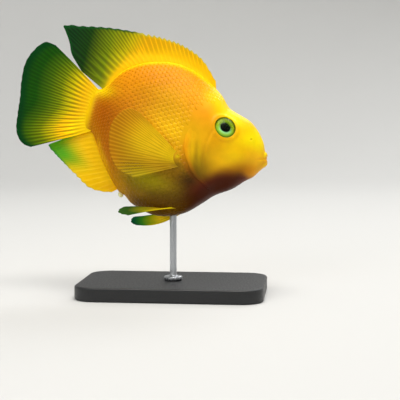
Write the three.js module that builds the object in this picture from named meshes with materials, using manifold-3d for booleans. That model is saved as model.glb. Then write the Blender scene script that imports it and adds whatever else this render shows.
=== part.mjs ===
// Blood parrot cichlid, a still life-size model on a plain display stand.
// Millimetres, +Z up. The stand's underside is centred on the origin, and the fish faces +X.
// The fish is drawn level in its own frame (origin at the root of the tail fin, +X to the
// snout, +Y to its left, +Z to its back) and is then tipped nose down and banked.
import * as THREE from "three";
import { mergeVertices } from "three/addons/utils/BufferGeometryUtils.js";
import Module from "manifold-3d";

const wasm = await Module();
wasm.setup();

// Driving dimensions

const SNOUT = 120; // tail fin root to snout
const TAIL_END = -3; // the tail stem ends inside the fin's scaly root
const SNOUT_ROUND = 20.6; // length over which the snout closes
const TAIL_ROUND = 4; // length over which the tail stem closes
const MOUTH_HEIGHT = -2.4;
const AROUND = 32; // facets round the body
const ALONG = 42; // facets from tail to snout

const GAP = 0.3; // clearance between neighbouring pieces
const NOSE_DOWN = 15; // degrees
const BANK = 8; // degrees, belly towards -Y
const ROOT_SUNK = 3; // how far a fin starts under the skin, before it is trimmed

const EYE = { x: 88.7, z: 11.2, radius: 8.2, depth: 5.4, sunk: 3.1, rim: 0.8 };
const NOSTRIL = { x: 106.5, z: 8.5, radius: 0.8, depth: 1.8, rim: 0.45 };
const LIP = { corner: 112.5, front: 117.7, spread: 9, level: -0.3, drop: 2.6, upper: 2.4, lower: 2.8 };
const MOUTH_SLIT = 0.5;
const GILL_COVER = { skin: 1.2, raised: 0.9 };
const VENT = { x: 33.7, length: 1.9, radius: 1.6, drop: 1.6, tilt: -50 };

const MEMBRANE = 0.55; // fin membrane
const RAY_HEIGHT = 0.28; // how far a ray stands out from each face at its root
const MARGIN_THICKNESS = 0.4;
const FINE = [0.3, 0.7]; // where the membrane between two rays is drawn, on the bolder fins

const BASE = { length: 120, depth: 76, thickness: 9, corner: 14, bevel: 1.2 };
const ROD = { radius: 2.2, shown: 42, x: 70.5, foot: 6, footHeight: 2.4 };

// Curves

const radians = THREE.MathUtils.degToRad;
const lerp = THREE.MathUtils.lerp;

// A smooth curve through a few [position, value] knots, level beyond its ends.
function through(...knots) {
  const last = knots.length - 1;
  const slopes = knots.map((_, i) => {
    const before = knots[Math.max(i - 1, 0)];
    const after = knots[Math.min(i + 1, last)];
    return (after[1] - before[1]) / (after[0] - before[0]);
  });
  return (position) => {
    const place = THREE.MathUtils.clamp(position, knots[0][0], knots[last][0]);
    let i = 0;
    while (i < last - 1 && knots[i + 1][0] <= place) i++;
    const step = knots[i + 1][0] - knots[i][0];
    const t = (place - knots[i][0]) / step;
    const [t2, t3] = [t * t, t * t * t];
    return (
      (2 * t3 - 3 * t2 + 1) * knots[i][1] +
      (t3 - 2 * t2 + t) * step * slopes[i] +
      (3 * t2 - 2 * t3) * knots[i + 1][1] +
      (t3 - t2) * step * slopes[i + 1]
    );
  };
}

// Body outline: the back, the belly, the half width and the height of the widest point,
// each by distance from the tail root. The closing of snout and tail is taken out here.
const back = through(
  [-3, 15.2],
  [2, 15.8],
  [6, 20],
  [12.5, 30.5],
  [20, 37],
  [31, 42.3],
  [45, 45],
  [58, 43.3],
  [70, 38.3],
  [80, 32.3],
  [86.5, 26],
  [91, 24.2],
  [101.6, 21.3],
  [106, 19.7],
  [111.2, 17.3],
  [114.7, 14.7],
  [116.4, 11.3],
  [118.4, 8.6],
  [120.6, 8],
);
const belly = through(
  [-3, -13.2],
  [4.5, -13.8],
  [9, -19],
  [17, -30.7],
  [31, -45],
  [36.5, -47.2],
  [42, -50.9],
  [57, -54.3],
  [70, -51.6],
  [79, -46.3],
  [87, -38],
  [93, -31.5],
  [103.5, -24.2],
  [107, -21.3],
  [110.6, -18.9],
  [114, -17.4],
  [117, -13.5],
  [120.6, -10],
);
const halfWidth = through(
  [-3, 2.8],
  [4, 4.6],
  [12, 9],
  [25, 14.5],
  [40, 19],
  [56, 22],
  [70, 22.8],
  [80, 22],
  [90, 19],
  [100, 15.8],
  [110, 13],
  [120.6, 10.5],
);
const widest = through([-3, 1], [20, 0], [45, -3], [70, -6], [90, -4], [105, -3], [120.6, -2.4]);
const ridge = through([-3, 1], [20, 1.35], [60, 1.35], [86, 1.15], [105, 1], [120.6, 1]);
const keel = through([-3, 1], [10, 1.3], [30, 1.25], [50, 0.95], [75, 0.95], [95, 1.1], [120.6, 1]);

// How far the outline has closed in on the mouth or on the tail's end, 1 being not at all.
function openness(x) {
  const front = Math.max(0, (x - (SNOUT - SNOUT_ROUND)) / SNOUT_ROUND);
  const rear = Math.max(0, (TAIL_END + TAIL_ROUND - x) / TAIL_ROUND);
  const closed = Math.min(1, Math.max(front, rear));
  return Math.sqrt(1 - closed * closed);
}

// The cross-section at x: its half width, and the heights of its widest level, top and bottom.
function section(x) {
  const open = openness(x);
  const middle = x > 60 ? MOUTH_HEIGHT : 1;
  const closing = (height) => middle + (height - middle) * open;
  return {
    width: halfWidth(x) * open,
    level: closing(widest(x)),
    top: closing(back(x)),
    bottom: closing(belly(x)),
  };
}

// A point of the skin, at an angle from the back: 0 to 180 down the left side, and
// negative down the right.
function skin(x, angle) {
  const { width, level, top, bottom } = section(x);
  const rise = Math.cos(angle);
  const reach = Math.abs(Math.sin(angle));
  const power = rise > 0 ? ridge(x) : keel(x);
  return new THREE.Vector3(
    x,
    Math.sign(angle) * width * reach ** power,
    level + rise * (rise > 0 ? top - level : level - bottom),
  );
}

// The skin at a height: side is 1 for left and -1 for right.
function skinAt(x, z, side) {
  const { level, top, bottom } = section(x);
  const part = z > level ? top - level : level - bottom;
  return skin(x, side * Math.acos(THREE.MathUtils.clamp((z - level) / part, -1, 1)));
}

// The way out of the skin at a height.
function normalAt(x, z, side) {
  const step = 0.5;
  const along = skinAt(x + step, z, side).sub(skinAt(x - step, z, side));
  const up = skinAt(x, z + step, side).sub(skinAt(x, z - step, side));
  return along.cross(up).multiplyScalar(-side).normalize();
}

// Solids

// A closed solid from a geometry, its faces turned to point outwards.
function solid(geometry) {
  const bare = new THREE.BufferGeometry();
  bare.setAttribute("position", geometry.getAttribute("position").clone());
  if (geometry.index) bare.setIndex(geometry.index.clone());
  const merged = mergeVertices(bare, 1e-3);
  const points = new Float32Array(merged.attributes.position.array);
  const faces = new Uint32Array(merged.index.array);
  const made = closed(points, faces);
  if (made.volume() > 0) return made;
  for (let i = 0; i < faces.length; i += 3) {
    [faces[i + 1], faces[i + 2]] = [faces[i + 2], faces[i + 1]];
  }
  return closed(points, faces);
}

function closed(vertProperties, triVerts) {
  return new wasm.Manifold(new wasm.Mesh({ numProp: 3, vertProperties, triVerts }));
}

function geometryOf(made) {
  const mesh = made.getMesh();
  const points = new Float32Array(mesh.numVert * 3);
  for (let i = 0; i < mesh.numVert; i++) {
    const start = i * mesh.numProp;
    points.set(mesh.vertProperties.subarray(start, start + 3), i * 3);
  }
  const geometry = new THREE.BufferGeometry();
  geometry.setAttribute("position", new THREE.BufferAttribute(points, 3));
  geometry.setIndex(new THREE.BufferAttribute(new Uint32Array(mesh.triVerts), 1));
  geometry.computeVertexNormals();
  return geometry;
}

// The largest closed surface of what a cut leaves.
function largest(made) {
  return made.decompose().sort((a, b) => b.volume() - a.volume())[0];
}

function join(...solids) {
  return solids.reduce((whole, piece) => whole.add(piece));
}

// The whole body, moved out along its normals by grow, which may depend on the place.
function body(grow = () => 0) {
  const sphere = new THREE.SphereGeometry(1, AROUND, ALONG);
  sphere.deleteAttribute("normal");
  sphere.deleteAttribute("uv");
  const shell = mergeVertices(sphere, 1e-5);
  const places = shell.attributes.position;
  const middle = (SNOUT + TAIL_END) / 2;
  const half = (SNOUT - TAIL_END) / 2;
  for (let i = 0; i < places.count; i++) {
    const unit = new THREE.Vector3().fromBufferAttribute(places, i).normalize();
    const x = middle + half * unit.y;
    const p = skin(x, Math.atan2(-unit.x, unit.z));
    places.setXYZ(i, p.x, p.y, p.z);
  }
  shell.computeVertexNormals();
  const normals = shell.attributes.normal;
  const moved = places.clone();
  for (let i = 0; i < places.count; i++) {
    const p = new THREE.Vector3().fromBufferAttribute(places, i);
    const n = new THREE.Vector3().fromBufferAttribute(normals, i);
    p.addScaledVector(n, grow(p));
    moved.setXYZ(i, p.x, p.y, p.z);
  }
  shell.setAttribute("position", moved);
  return solid(shell);
}

// A flat outline in the fish's side view, run across the body from one y to another.
function across(outline, from, to) {
  const shape = new THREE.Shape(outline.map(([x, z]) => new THREE.Vector2(x, z)));
  const geometry = new THREE.ExtrudeGeometry(shape, { depth: to - from, bevelEnabled: false });
  geometry.rotateX(Math.PI / 2);
  geometry.translate(0, to, 0);
  return solid(geometry);
}

// Points along a smooth line, in the side view.
function line(points, count) {
  const curve = new THREE.SplineCurve(points.map(([x, z]) => new THREE.Vector2(x, z)));
  return curve.getPoints(count).map((p) => [p.x, p.y]);
}

// The same line moved sideways by a distance.
function beside(points, distance) {
  return points.map((p, i) => {
    const a = points[Math.max(i - 1, 0)];
    const b = points[Math.min(i + 1, points.length - 1)];
    const length = Math.hypot(b[0] - a[0], b[1] - a[1]);
    return [
      p[0] - ((b[1] - a[1]) / length) * distance,
      p[1] + ((b[0] - a[0]) / length) * distance,
    ];
  });
}

// A thin sheet across the body along a line, for parting one piece from the next.
function cut(points, thickness, count = 24) {
  const middle = line(points, count);
  const outline = [
    ...beside(middle, thickness / 2),
    ...beside(middle, -thickness / 2).reverse(),
  ];
  return across(outline, -40, 40);
}

// An ellipsoid whose short axis lies along a direction.
function lens(centre, axis, radius, depth, sides = 20) {
  const geometry = new THREE.SphereGeometry(1, sides, sides / 2);
  geometry.scale(radius, depth, radius);
  geometry.applyQuaternion(
    new THREE.Quaternion().setFromUnitVectors(new THREE.Vector3(0, 1, 0), axis),
  );
  geometry.translate(centre.x, centre.y, centre.z);
  return solid(geometry);
}

function ring(centre, axis, radius, tube, sides = 20) {
  const geometry = new THREE.TorusGeometry(radius, tube, 6, sides);
  geometry.applyQuaternion(
    new THREE.Quaternion().setFromUnitVectors(new THREE.Vector3(0, 0, 1), axis),
  );
  geometry.translate(centre.x, centre.y, centre.z);
  return solid(geometry);
}

function peg(centre, axis, radius, length) {
  const geometry = new THREE.CylinderGeometry(radius, radius, length, 10);
  geometry.applyQuaternion(
    new THREE.Quaternion().setFromUnitVectors(new THREE.Vector3(0, 1, 0), axis),
  );
  geometry.translate(centre.x, centre.y, centre.z);
  return solid(geometry);
}

// Fins

// A fin blade. place(u, v) is a point of its middle surface, with u across the rays from
// 0 to 1 and v from root to margin. Each ray is a ridge on both faces, and the margin is
// notched between spines. The clearance is added to both faces.
function blade({ rays, rows, place, spines = 0, notch = 0, root, flanks = [0.5], clearance = 0 }) {
  const columns = [];
  for (let ray = 0; ray < rays; ray++) {
    const spine = ray < spines;
    columns.push({ u: ray / (rays - 1), ridge: 1, spine });
    if (ray === rays - 1) continue;
    for (const flank of flanks) columns.push({ u: (ray + flank) / (rays - 1), ridge: 0, spine });
  }
  const width = columns.length;
  const positions = [];
  const point = (column, v) => {
    const short = column.ridge ? 0 : column.spine ? notch : notch * 0.25;
    return place(column.u, v * (1 - short * v ** 4));
  };
  for (const face of [1, -1]) {
    for (let row = 0; row <= rows; row++) {
      for (const column of columns) {
        const v = row / rows;
        const p = point(column, v);
        const d = 1e-3;
        const u0 = Math.max(0, column.u - d);
        const along = place(u0 + 2 * d, v).sub(place(u0, v));
        const out = place(column.u, Math.min(1, v + d)).sub(place(column.u, v - d));
        const normal = out.cross(along).normalize();
        const flesh = lerp(root, MEMBRANE, Math.min(1, v * 2.5));
        const plain = lerp(flesh, MARGIN_THICKNESS, v ** 3);
        const half = plain / 2 + column.ridge * RAY_HEIGHT * (1 - 0.75 * v) + clearance;
        p.addScaledVector(normal, face * half);
        positions.push(p.x, p.y, p.z);
      }
    }
  }
  const faces = [];
  const at = (side, row, column) => (side * (rows + 1) + row) * width + column;
  const quad = (a, b, c, d) => faces.push(a, b, c, a, c, d);
  for (let row = 0; row < rows; row++) {
    for (let c = 0; c < width - 1; c++) {
      quad(at(0, row, c), at(0, row + 1, c), at(0, row + 1, c + 1), at(0, row, c + 1));
      const [a, b] = [at(1, row, c), at(1, row + 1, c)];
      const [e, f] = [at(1, row + 1, c + 1), at(1, row, c + 1)];
      faces.push(a, e, b, a, f, e);
    }
    quad(at(1, row, 0), at(1, row + 1, 0), at(0, row + 1, 0), at(0, row, 0));
    const last = width - 1;
    quad(at(0, row, last), at(0, row + 1, last), at(1, row + 1, last), at(1, row, last));
  }
  for (let c = 0; c < width - 1; c++) {
    quad(at(1, 0, c), at(0, 0, c), at(0, 0, c + 1), at(1, 0, c + 1));
    quad(at(0, rows, c), at(1, rows, c), at(1, rows, c + 1), at(0, rows, c + 1));
  }
  const geometry = new THREE.BufferGeometry();
  geometry.setAttribute("position", new THREE.Float32BufferAttribute(positions, 3));
  geometry.setIndex(faces);
  return solid(geometry);
}

// The dorsal fin: its spines lie back, and its soft rays run out to a point over the tail.
const dorsalRootX = through([0, 76.5], [0.56, 32], [1, 4.8]);
const dorsalEdgeX = through(
  [0, 73.5],
  [0.1, 61.5],
  [0.25, 47],
  [0.4, 34],
  [0.56, 18],
  [0.7, -3],
  [0.82, -22],
  [0.89, -34.2],
  [0.93, -29.3],
  [0.965, -23],
  [1, -13.5],
);
const dorsalEdgeZ = through(
  [0, 40.6],
  [0.1, 51.8],
  [0.25, 57.5],
  [0.4, 59],
  [0.56, 58.4],
  [0.7, 56.5],
  [0.82, 53],
  [0.89, 50.4],
  [0.93, 43.6],
  [0.965, 32.8],
  [1, 23.8],
);
function dorsalPlace(u, v) {
  const x = dorsalRootX(u);
  const root = new THREE.Vector3(x, 0, back(x) - ROOT_SUNK);
  const edge = new THREE.Vector3(dorsalEdgeX(u), 0, dorsalEdgeZ(u));
  const p = root.lerp(edge, v);
  const trailing = Math.max(0, 10 - p.x);
  p.y = 0.0022 * trailing * trailing;
  return p;
}

// The tail fin: a broad fan with a shallow notch, swept a little to the right.
const tailEdgeX = through(
  [0, -34],
  [0.06, -40.6],
  [0.15, -45.8],
  [0.28, -48.9],
  [0.42, -48.3],
  [0.55, -46.2],
  [0.7, -45],
  [0.82, -43.7],
  [0.91, -40.8],
  [0.97, -36],
  [1, -31.3],
);
const tailEdgeZ = through(
  [0, 35.5],
  [0.06, 35.6],
  [0.15, 28.6],
  [0.28, 18],
  [0.42, 6],
  [0.55, -4],
  [0.7, -14.5],
  [0.82, -23],
  [0.91, -29],
  [0.97, -32.8],
  [1, -33.2],
);
const tailBow = through([0, 0.4], [0.3, 0], [0.8, -0.3], [1, 0]);
function tailPlace(u, v) {
  const root = new THREE.Vector3(lerp(1.5, 4, u), 0, lerp(14.6, -12.4, u));
  const edge = new THREE.Vector3(tailEdgeX(u), 0, tailEdgeZ(u));
  const p = root.lerp(edge, v);
  p.z += tailBow(u) * 4 * v * (1 - v);
  const trailing = Math.max(0, -p.x);
  p.y = -0.0034 * trailing * trailing;
  return p;
}

// The anal fin: short spines first, then soft rays that end in a point under the tail.
const analRootX = through([0, 31.6], [1, 4.5]);
const analEdgeX = through(
  [0, 27.5],
  [0.067, 22.5],
  [0.133, 16.5],
  [0.2, 11],
  [0.3, 4.6],
  [0.45, -3.8],
  [0.6, -11],
  [0.74, -16.6],
  [0.87, -22.6],
  [0.94, -18],
  [1, -11.5],
);
const analEdgeZ = through(
  [0, -47.4],
  [0.067, -48.6],
  [0.133, -49],
  [0.2, -48.2],
  [0.3, -44.8],
  [0.45, -40],
  [0.6, -36],
  [0.74, -32.8],
  [0.87, -28.4],
  [0.94, -25],
  [1, -20.5],
);
function analPlace(u, v) {
  const x = analRootX(u);
  const root = new THREE.Vector3(x + 1.5, 0, belly(x) + ROOT_SUNK);
  const edge = new THREE.Vector3(analEdgeX(u), 0, analEdgeZ(u));
  const p = root.lerp(edge, v);
  const trailing = Math.max(0, 12 - p.x);
  p.y = 0.0055 * trailing * trailing;
  return p;
}

// A breast fin: a rounded fan held along the flank. flare is how far its margin stands out.
const breastEdgeX = through(
  [0, 36],
  [0.15, 28],
  [0.3, 22.3],
  [0.45, 19.5],
  [0.6, 20.8],
  [0.75, 24.8],
  [0.88, 32],
  [1, 43],
);
const breastEdgeZ = through(
  [0, 5],
  [0.15, 6],
  [0.3, 1.2],
  [0.45, -7],
  [0.6, -16.8],
  [0.75, -26.5],
  [0.88, -33],
  [1, -35.3],
);
function breastPlace(side, flare) {
  return (u, v) => {
    const root = new THREE.Vector3(lerp(66.2, 68.4, u), 0, lerp(-13.6, -20.6, u));
    const edge = new THREE.Vector3(breastEdgeX(u), 0, breastEdgeZ(u));
    const p = root.lerp(edge, v);
    const camber = 1.6 * Math.sin(Math.PI * u) * v;
    p.y = side * (21 + 2.6 * Math.min(1, v * 5) + flare * v * v - camber);
    return p;
  };
}

// A belly fin: a spine and five soft rays, trailing back and out from under the belly.
// The right one is pressed up against the flank and the left one hangs a little lower.
const BELLY_FINS = {
  left: {
    side: 1,
    edgeX: through([0, 47.2], [0.3, 44.5], [0.5, 43.7], [0.8, 45], [1, 50.5]),
    edgeZ: through([0, -63.7], [0.3, -63.2], [0.5, -61.8], [0.8, -59.2], [1, -57.2]),
    out: 4,
    spread: 7,
    bow: 4.6,
  },
  right: {
    side: -1,
    edgeX: through([0, 44.2], [0.3, 38.5], [0.5, 36.9], [0.8, 39.4], [1, 45.2]),
    edgeZ: through([0, -59], [0.3, -59.2], [0.5, -57.9], [0.8, -54.6], [1, -52.5]),
    out: 10,
    spread: 7,
    bow: -0.8,
  },
};
function bellyPlace({ side, edgeX, edgeZ, out, spread, bow }) {
  return (u, v) => {
    const root = new THREE.Vector3(lerp(79, 73, u), side * lerp(7, 5.4, u), lerp(-43, -47, u));
    const edge = new THREE.Vector3(edgeX(u), side * (out + spread * (1 - u)), edgeZ(u));
    const p = root.lerp(edge, v);
    const bulge = Math.sin(Math.PI * v);
    p.y += side * 2 * bulge;
    p.z -= bow * (1 - u) * bulge;
    return p;
  };
}

// Body pieces

const whole = body();
const outside = body(() => GAP);

const GILL_EDGE = [
  [73.5, 22],
  [69.5, 14],
  [67.5, 4],
  [68, -8],
  [72.5, -16.5],
  [79, -23.8],
  [86, -27.6],
];
const gillOpening = cut(
  [[83, 42], [80.5, 31], [75.5, 23.5], ...GILL_EDGE.slice(1), [91.5, -31], [97, -42]],
  GAP,
  22,
);
const stemCut = cut([[12, 42], [9.5, 20], [8.5, 0], [9.5, -16], [13, -32]], GAP, 12);
const jawCut = join(
  cut([[124, 0.4], [118, -0.6], [LIP.corner, -2.8]], MOUTH_SLIT, 8),
  cut([[LIP.corner + 0.4, -2.7], [109, -7], [105, -15], [101, -30]], GAP, 12),
);

// Lips: a fold above and below the mouth, swept round the snout and thinner at its corners.
function lip(radius, lift) {
  const turns = 12;
  const pieces = [];
  for (let i = 0; i <= turns; i++) {
    const angle = lerp(-Math.PI / 2, Math.PI / 2, i / turns);
    const size = radius * lerp(0.55, 1, Math.cos(angle));
    const bead = new THREE.SphereGeometry(size, 8, 6);
    bead.translate(
      lerp(LIP.corner, LIP.front, Math.cos(angle)) - size * 0.5,
      LIP.spread * Math.sin(angle) * 0.93,
      LIP.level - LIP.drop * (1 - Math.cos(angle)) + lift * size,
    );
    pieces.push(bead);
  }
  const strands = [];
  for (let i = 0; i < turns; i++) strands.push(hullOf(pieces[i], pieces[i + 1]));
  return join(...strands);
}

function hullOf(a, b) {
  return wasm.Manifold.hull([solid(a), solid(b)]);
}

function bothSides(make) {
  return [make(1), make(-1)];
}

// Eyes: flattened balls that face straight out of the skin, each in a socket with a rim.
const eyeAxis = (side) => normalAt(EYE.x, EYE.z, side);
const inEye = (side, sunk) =>
  skinAt(EYE.x, EYE.z, side).addScaledVector(eyeAxis(side), -sunk);
const eyes = bothSides((side) =>
  lens(inEye(side, EYE.sunk), eyeAxis(side), EYE.radius, EYE.depth),
);
const sockets = bothSides((side) =>
  lens(inEye(side, EYE.sunk), eyeAxis(side), EYE.radius + GAP, EYE.depth + GAP),
);
const rims = bothSides((side) =>
  ring(inEye(side, 0.2), eyeAxis(side), EYE.radius - 0.6, EYE.rim),
);

function nostrilAt(side) {
  return [skinAt(NOSTRIL.x, NOSTRIL.z, side), normalAt(NOSTRIL.x, NOSTRIL.z, side)];
}
const nostrilRims = bothSides((side) => {
  const [place, normal] = nostrilAt(side);
  return ring(place, normal, NOSTRIL.radius + NOSTRIL.rim, NOSTRIL.rim, 10);
});
const nostrilHoles = bothSides((side) => {
  const [place, normal] = nostrilAt(side);
  return peg(place, normal, NOSTRIL.radius, NOSTRIL.depth * 2);
});

// Gill covers: curved plates let into the skin, their rear edges lifted as a flap.
const coverEdge = line(GILL_EDGE, 12);
const coverFront = line([[90, -24.5], [84.5, -16], [80.5, -5], [78.5, 8], [77, 18], [73.5, 22]], 8);
const coverOutline = [...coverEdge, [88, -27], ...coverFront.slice(0, -1)];

// A closed outline moved outwards by an amount, its corners kept.
function grown(outline, amount) {
  const count = outline.length;
  let area = 0;
  for (let i = 0; i < count; i++) {
    const [a, b] = [outline[i], outline[(i + 1) % count]];
    area += a[0] * b[1] - b[0] * a[1];
  }
  const outward = area > 0 ? amount : -amount;
  return outline.map((p, i) => {
    const before = outline[(i + count - 1) % count];
    const after = outline[(i + 1) % count];
    const a = new THREE.Vector2(p[1] - before[1], before[0] - p[0]).normalize();
    const b = new THREE.Vector2(after[1] - p[1], p[0] - after[0]).normalize();
    const corner = a.clone().add(b).normalize();
    const reach = outward / Math.max(0.4, corner.dot(a));
    return [p[0] + corner.x * reach, p[1] + corner.y * reach];
  });
}
const under = body(() => -GILL_COVER.skin);
const pocket = body(() => -GILL_COVER.skin - GAP);
const lifted = body((p) => {
  const rear = THREE.MathUtils.smoothstep(84 - p.x, 0, 14);
  return lerp(0.15, GILL_COVER.raised, rear);
});
function halfOf(outline, side) {
  return side > 0 ? across(outline, 3, 40) : across(outline, -40, -3);
}
const covers = bothSides((side) =>
  largest(lifted.subtract(under).intersect(halfOf(grown(coverOutline, -GAP / 2), side))),
);
const coverPockets = bothSides((side) =>
  halfOf(grown(coverOutline, GAP / 2), side).subtract(pocket),
);

// The vent's small white papilla, just in front of the anal fin.
const ventTop = new THREE.Vector3(VENT.x, 0, belly(VENT.x) + 0.6);
const papilla = (() => {
  const geometry = new THREE.SphereGeometry(1, 12, 8);
  geometry.scale(VENT.radius, VENT.radius, VENT.length);
  geometry.rotateY(radians(VENT.tilt));
  geometry.translate(ventTop.x, 0, ventTop.z - VENT.drop);
  return solid(geometry);
})();

const byPlace = (a, b) => {
  const centre = (s) => (s.boundingBox().min[0] + s.boundingBox().max[0]) / 2;
  return centre(a) - centre(b);
};
const twoLargest = (made) =>
  made
    .decompose()
    .sort((a, b) => b.volume() - a.volume())
    .slice(0, 2)
    .sort(byPlace);

const [rearBody, headWhole] = twoLargest(whole.subtract(gillOpening));
const [stem, torsoBare] = twoLargest(rearBody.subtract(stemCut));
const lipped = join(headWhole, lip(LIP.upper, 1), lip(LIP.lower, -1));
const [headBare, jaw] = twoLargest(lipped.subtract(jawCut));
const head = largest(
  join(headBare, ...rims, ...nostrilRims).subtract(
    join(...sockets, ...nostrilHoles, ...coverPockets, gillOpening),
  ),
);
const torso = largest(join(torsoBare, papilla).subtract(join(...coverPockets)));

// Fins, trimmed to the skin with a clearance

const trimmed = (made) => largest(made.subtract(outside));
const TAIL = { rays: 17, rows: 5, place: tailPlace, notch: 0.03, root: 3, flanks: FINE };
const tail = trimmed(blade(TAIL));

// The tail fin again with a clearance all round, which the fins beside it are kept out of.
function tailClearPlace(u, v) {
  const p = tailPlace(u, v);
  p.z += GAP * (1 - 2 * u);
  return p;
}
const tailClear = blade({ ...TAIL, place: tailClearPlace, clearance: GAP });
const dorsal = trimmed(
  blade({
    rays: 28,
    rows: 5,
    place: dorsalPlace,
    spines: 16,
    notch: 0.06,
    root: 2.6,
  }).subtract(tailClear),
);
const ventClear = lens(ventTop, new THREE.Vector3(0, 1, 0), 3.2, 2.6, 16);
const anal = trimmed(
  blade({
    rays: 16,
    rows: 5,
    place: analPlace,
    spines: 7,
    notch: 0.06,
    root: 2.2,
  }).subtract(join(ventClear, tailClear)),
);

// The breast fin's fleshy root, a small pad on the flank behind the gill cover.
const coverClear = join(
  outside,
  ...bothSides((side) =>
    body(() => GILL_COVER.raised + GAP).intersect(
      halfOf(grown(coverOutline, GAP), side),
    ),
  ),
);
function breastFin(side, flare) {
  const padAt = new THREE.Vector3(65.6, side * 22.6, -17);
  const pad = lens(padAt, new THREE.Vector3(0, 1, 0), 4.6, 2, 16);
  const place = breastPlace(side, flare);
  const fan = blade({ rays: 14, rows: 5, place, notch: 0.03, root: 1.2, flanks: FINE });
  return largest(join(fan, pad).subtract(coverClear));
}
const breastLeft = breastFin(1, 9);
const breastRight = breastFin(-1, 3.5);
const bellyFin = (pose) =>
  trimmed(
    blade({ rays: 6, rows: 5, place: bellyPlace(pose), notch: 0.04, root: 1.6, flanks: FINE }),
  );

// Stand

function roundedPlate({ length, depth, thickness, corner, bevel }) {
  const [a, b] = [length / 2 - bevel, depth / 2 - bevel];
  const shape = new THREE.Shape()
    .moveTo(-a + corner, -b)
    .lineTo(a - corner, -b)
    .absarc(a - corner, -b + corner, corner, -Math.PI / 2, 0)
    .absarc(a - corner, b - corner, corner, 0, Math.PI / 2)
    .absarc(-a + corner, b - corner, corner, Math.PI / 2, Math.PI)
    .absarc(-a + corner, -b + corner, corner, Math.PI, Math.PI * 1.5);
  const geometry = new THREE.ExtrudeGeometry(shape, {
    depth: thickness - 2 * bevel,
    bevelSize: bevel,
    bevelThickness: bevel,
    bevelSegments: 2,
    curveSegments: 5,
  });
  geometry.translate(0, 0, bevel);
  return solid(geometry);
}

// The fish's place: the rod's top meets the belly over the middle of the stand.
const fish = new THREE.Group();
fish.rotation.set(radians(-BANK), radians(NOSE_DOWN), 0, "YXZ");
const perch = new THREE.Vector3(ROD.x, 0, belly(ROD.x)).applyEuler(fish.rotation);
fish.position.set(-perch.x, -perch.y, BASE.thickness + ROD.shown - perch.z);
fish.updateMatrixWorld(true);

const rod = (() => {
  const foot = BASE.thickness + GAP;
  const top = BASE.thickness + ROD.shown + 8;
  const profile = [
    [0, foot],
    [ROD.foot, foot],
    [ROD.foot, foot + ROD.footHeight * 0.6],
    [ROD.foot * 0.85, foot + ROD.footHeight],
    [ROD.radius + 0.6, foot + ROD.footHeight],
    [ROD.radius, foot + ROD.footHeight + 1.4],
    [ROD.radius, top],
    [0, top],
  ].map(([r, z]) => new THREE.Vector2(r, z));
  const geometry = new THREE.LatheGeometry(profile, 24);
  geometry.rotateX(Math.PI / 2);
  const placed = geometryOf(outside).applyMatrix4(fish.matrixWorld);
  return largest(solid(geometry).subtract(solid(placed)));
})();

// The model

const FLESH = { color: 0xf2a208, roughness: 0.42, metalness: 0 };
const FIN = { color: 0xd6b414, roughness: 0.45, metalness: 0 };
const FIN_DARK = { color: 0x6f9a1c, roughness: 0.45, metalness: 0 };

function piece(name, made, look) {
  const mesh = new THREE.Mesh(geometryOf(made), new THREE.MeshStandardMaterial(look));
  mesh.name = name;
  return mesh;
}

fish.add(
  piece("head", head, FLESH),
  piece("lower_jaw", jaw, { ...FLESH, color: 0xf39a10 }),
  piece("gill_cover_left", covers[0], { ...FLESH, color: 0xf0b010 }),
  piece("gill_cover_right", covers[1], { ...FLESH, color: 0xf0b010 }),
  piece("eye_left", eyes[0], { color: 0x7fc46a, roughness: 0.08, metalness: 0 }),
  piece("eye_right", eyes[1], { color: 0x7fc46a, roughness: 0.08, metalness: 0 }),
  piece("torso", torso, FLESH),
  piece("tail_stem", stem, { ...FLESH, color: 0xcc7a08 }),
  piece("dorsal_fin", dorsal, FIN),
  piece("anal_fin", anal, FIN),
  piece("tail_fin", tail, FIN_DARK),
  piece("breast_fin_left", breastLeft, FIN),
  piece("breast_fin_right", breastRight, FIN),
  piece("belly_fin_left", bellyFin(BELLY_FINS.left), FIN_DARK),
  piece("belly_fin_right", bellyFin(BELLY_FINS.right), FIN_DARK),
);

const model = new THREE.Group();
model.add(
  fish,
  piece("stand_base", roundedPlate(BASE), { color: 0x1c1d1f, roughness: 0.5, metalness: 0 }),
  piece("stand_rod", rod, { color: 0xb8bcc0, roughness: 0.3, metalness: 1 }),
);

export default model;
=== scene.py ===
# %% [markdown]
# A blood parrot cichlid as a museum model: a deep, golden fish that swims nose down over a small
# stand. We load the fixed frame first.

# %% The frame
import math
import random

import bmesh
import bpy
from mathutils import Matrix, Vector


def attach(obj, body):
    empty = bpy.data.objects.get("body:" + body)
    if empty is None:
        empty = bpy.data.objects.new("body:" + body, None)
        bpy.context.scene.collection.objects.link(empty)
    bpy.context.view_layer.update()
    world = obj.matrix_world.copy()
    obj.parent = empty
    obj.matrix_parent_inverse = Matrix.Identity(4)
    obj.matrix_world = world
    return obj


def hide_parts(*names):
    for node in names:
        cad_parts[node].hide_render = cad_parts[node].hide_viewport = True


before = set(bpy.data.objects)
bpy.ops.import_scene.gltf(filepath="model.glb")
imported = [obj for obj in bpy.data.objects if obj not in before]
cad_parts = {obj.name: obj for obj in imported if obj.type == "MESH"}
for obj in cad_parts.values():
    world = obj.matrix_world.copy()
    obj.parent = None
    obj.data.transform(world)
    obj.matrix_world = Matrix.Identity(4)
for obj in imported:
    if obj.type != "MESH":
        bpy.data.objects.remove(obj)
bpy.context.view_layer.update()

# %% [markdown]
# The camera stands a little ahead of the fish and level with it, so that the head comes
# slightly towards us. A long lens keeps the proportions flat, as in a portrait. It aims below
# the fish and ahead of it, which puts the fish high and to the left in the picture.

# %% Camera
CAMERA_AT = (0.0921, -0.7112, 0.1226)
CAMERA_TURN = 5.99
CAMERA_DOWN = 4.89
LENS = 100
SENSOR = 36

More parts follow.
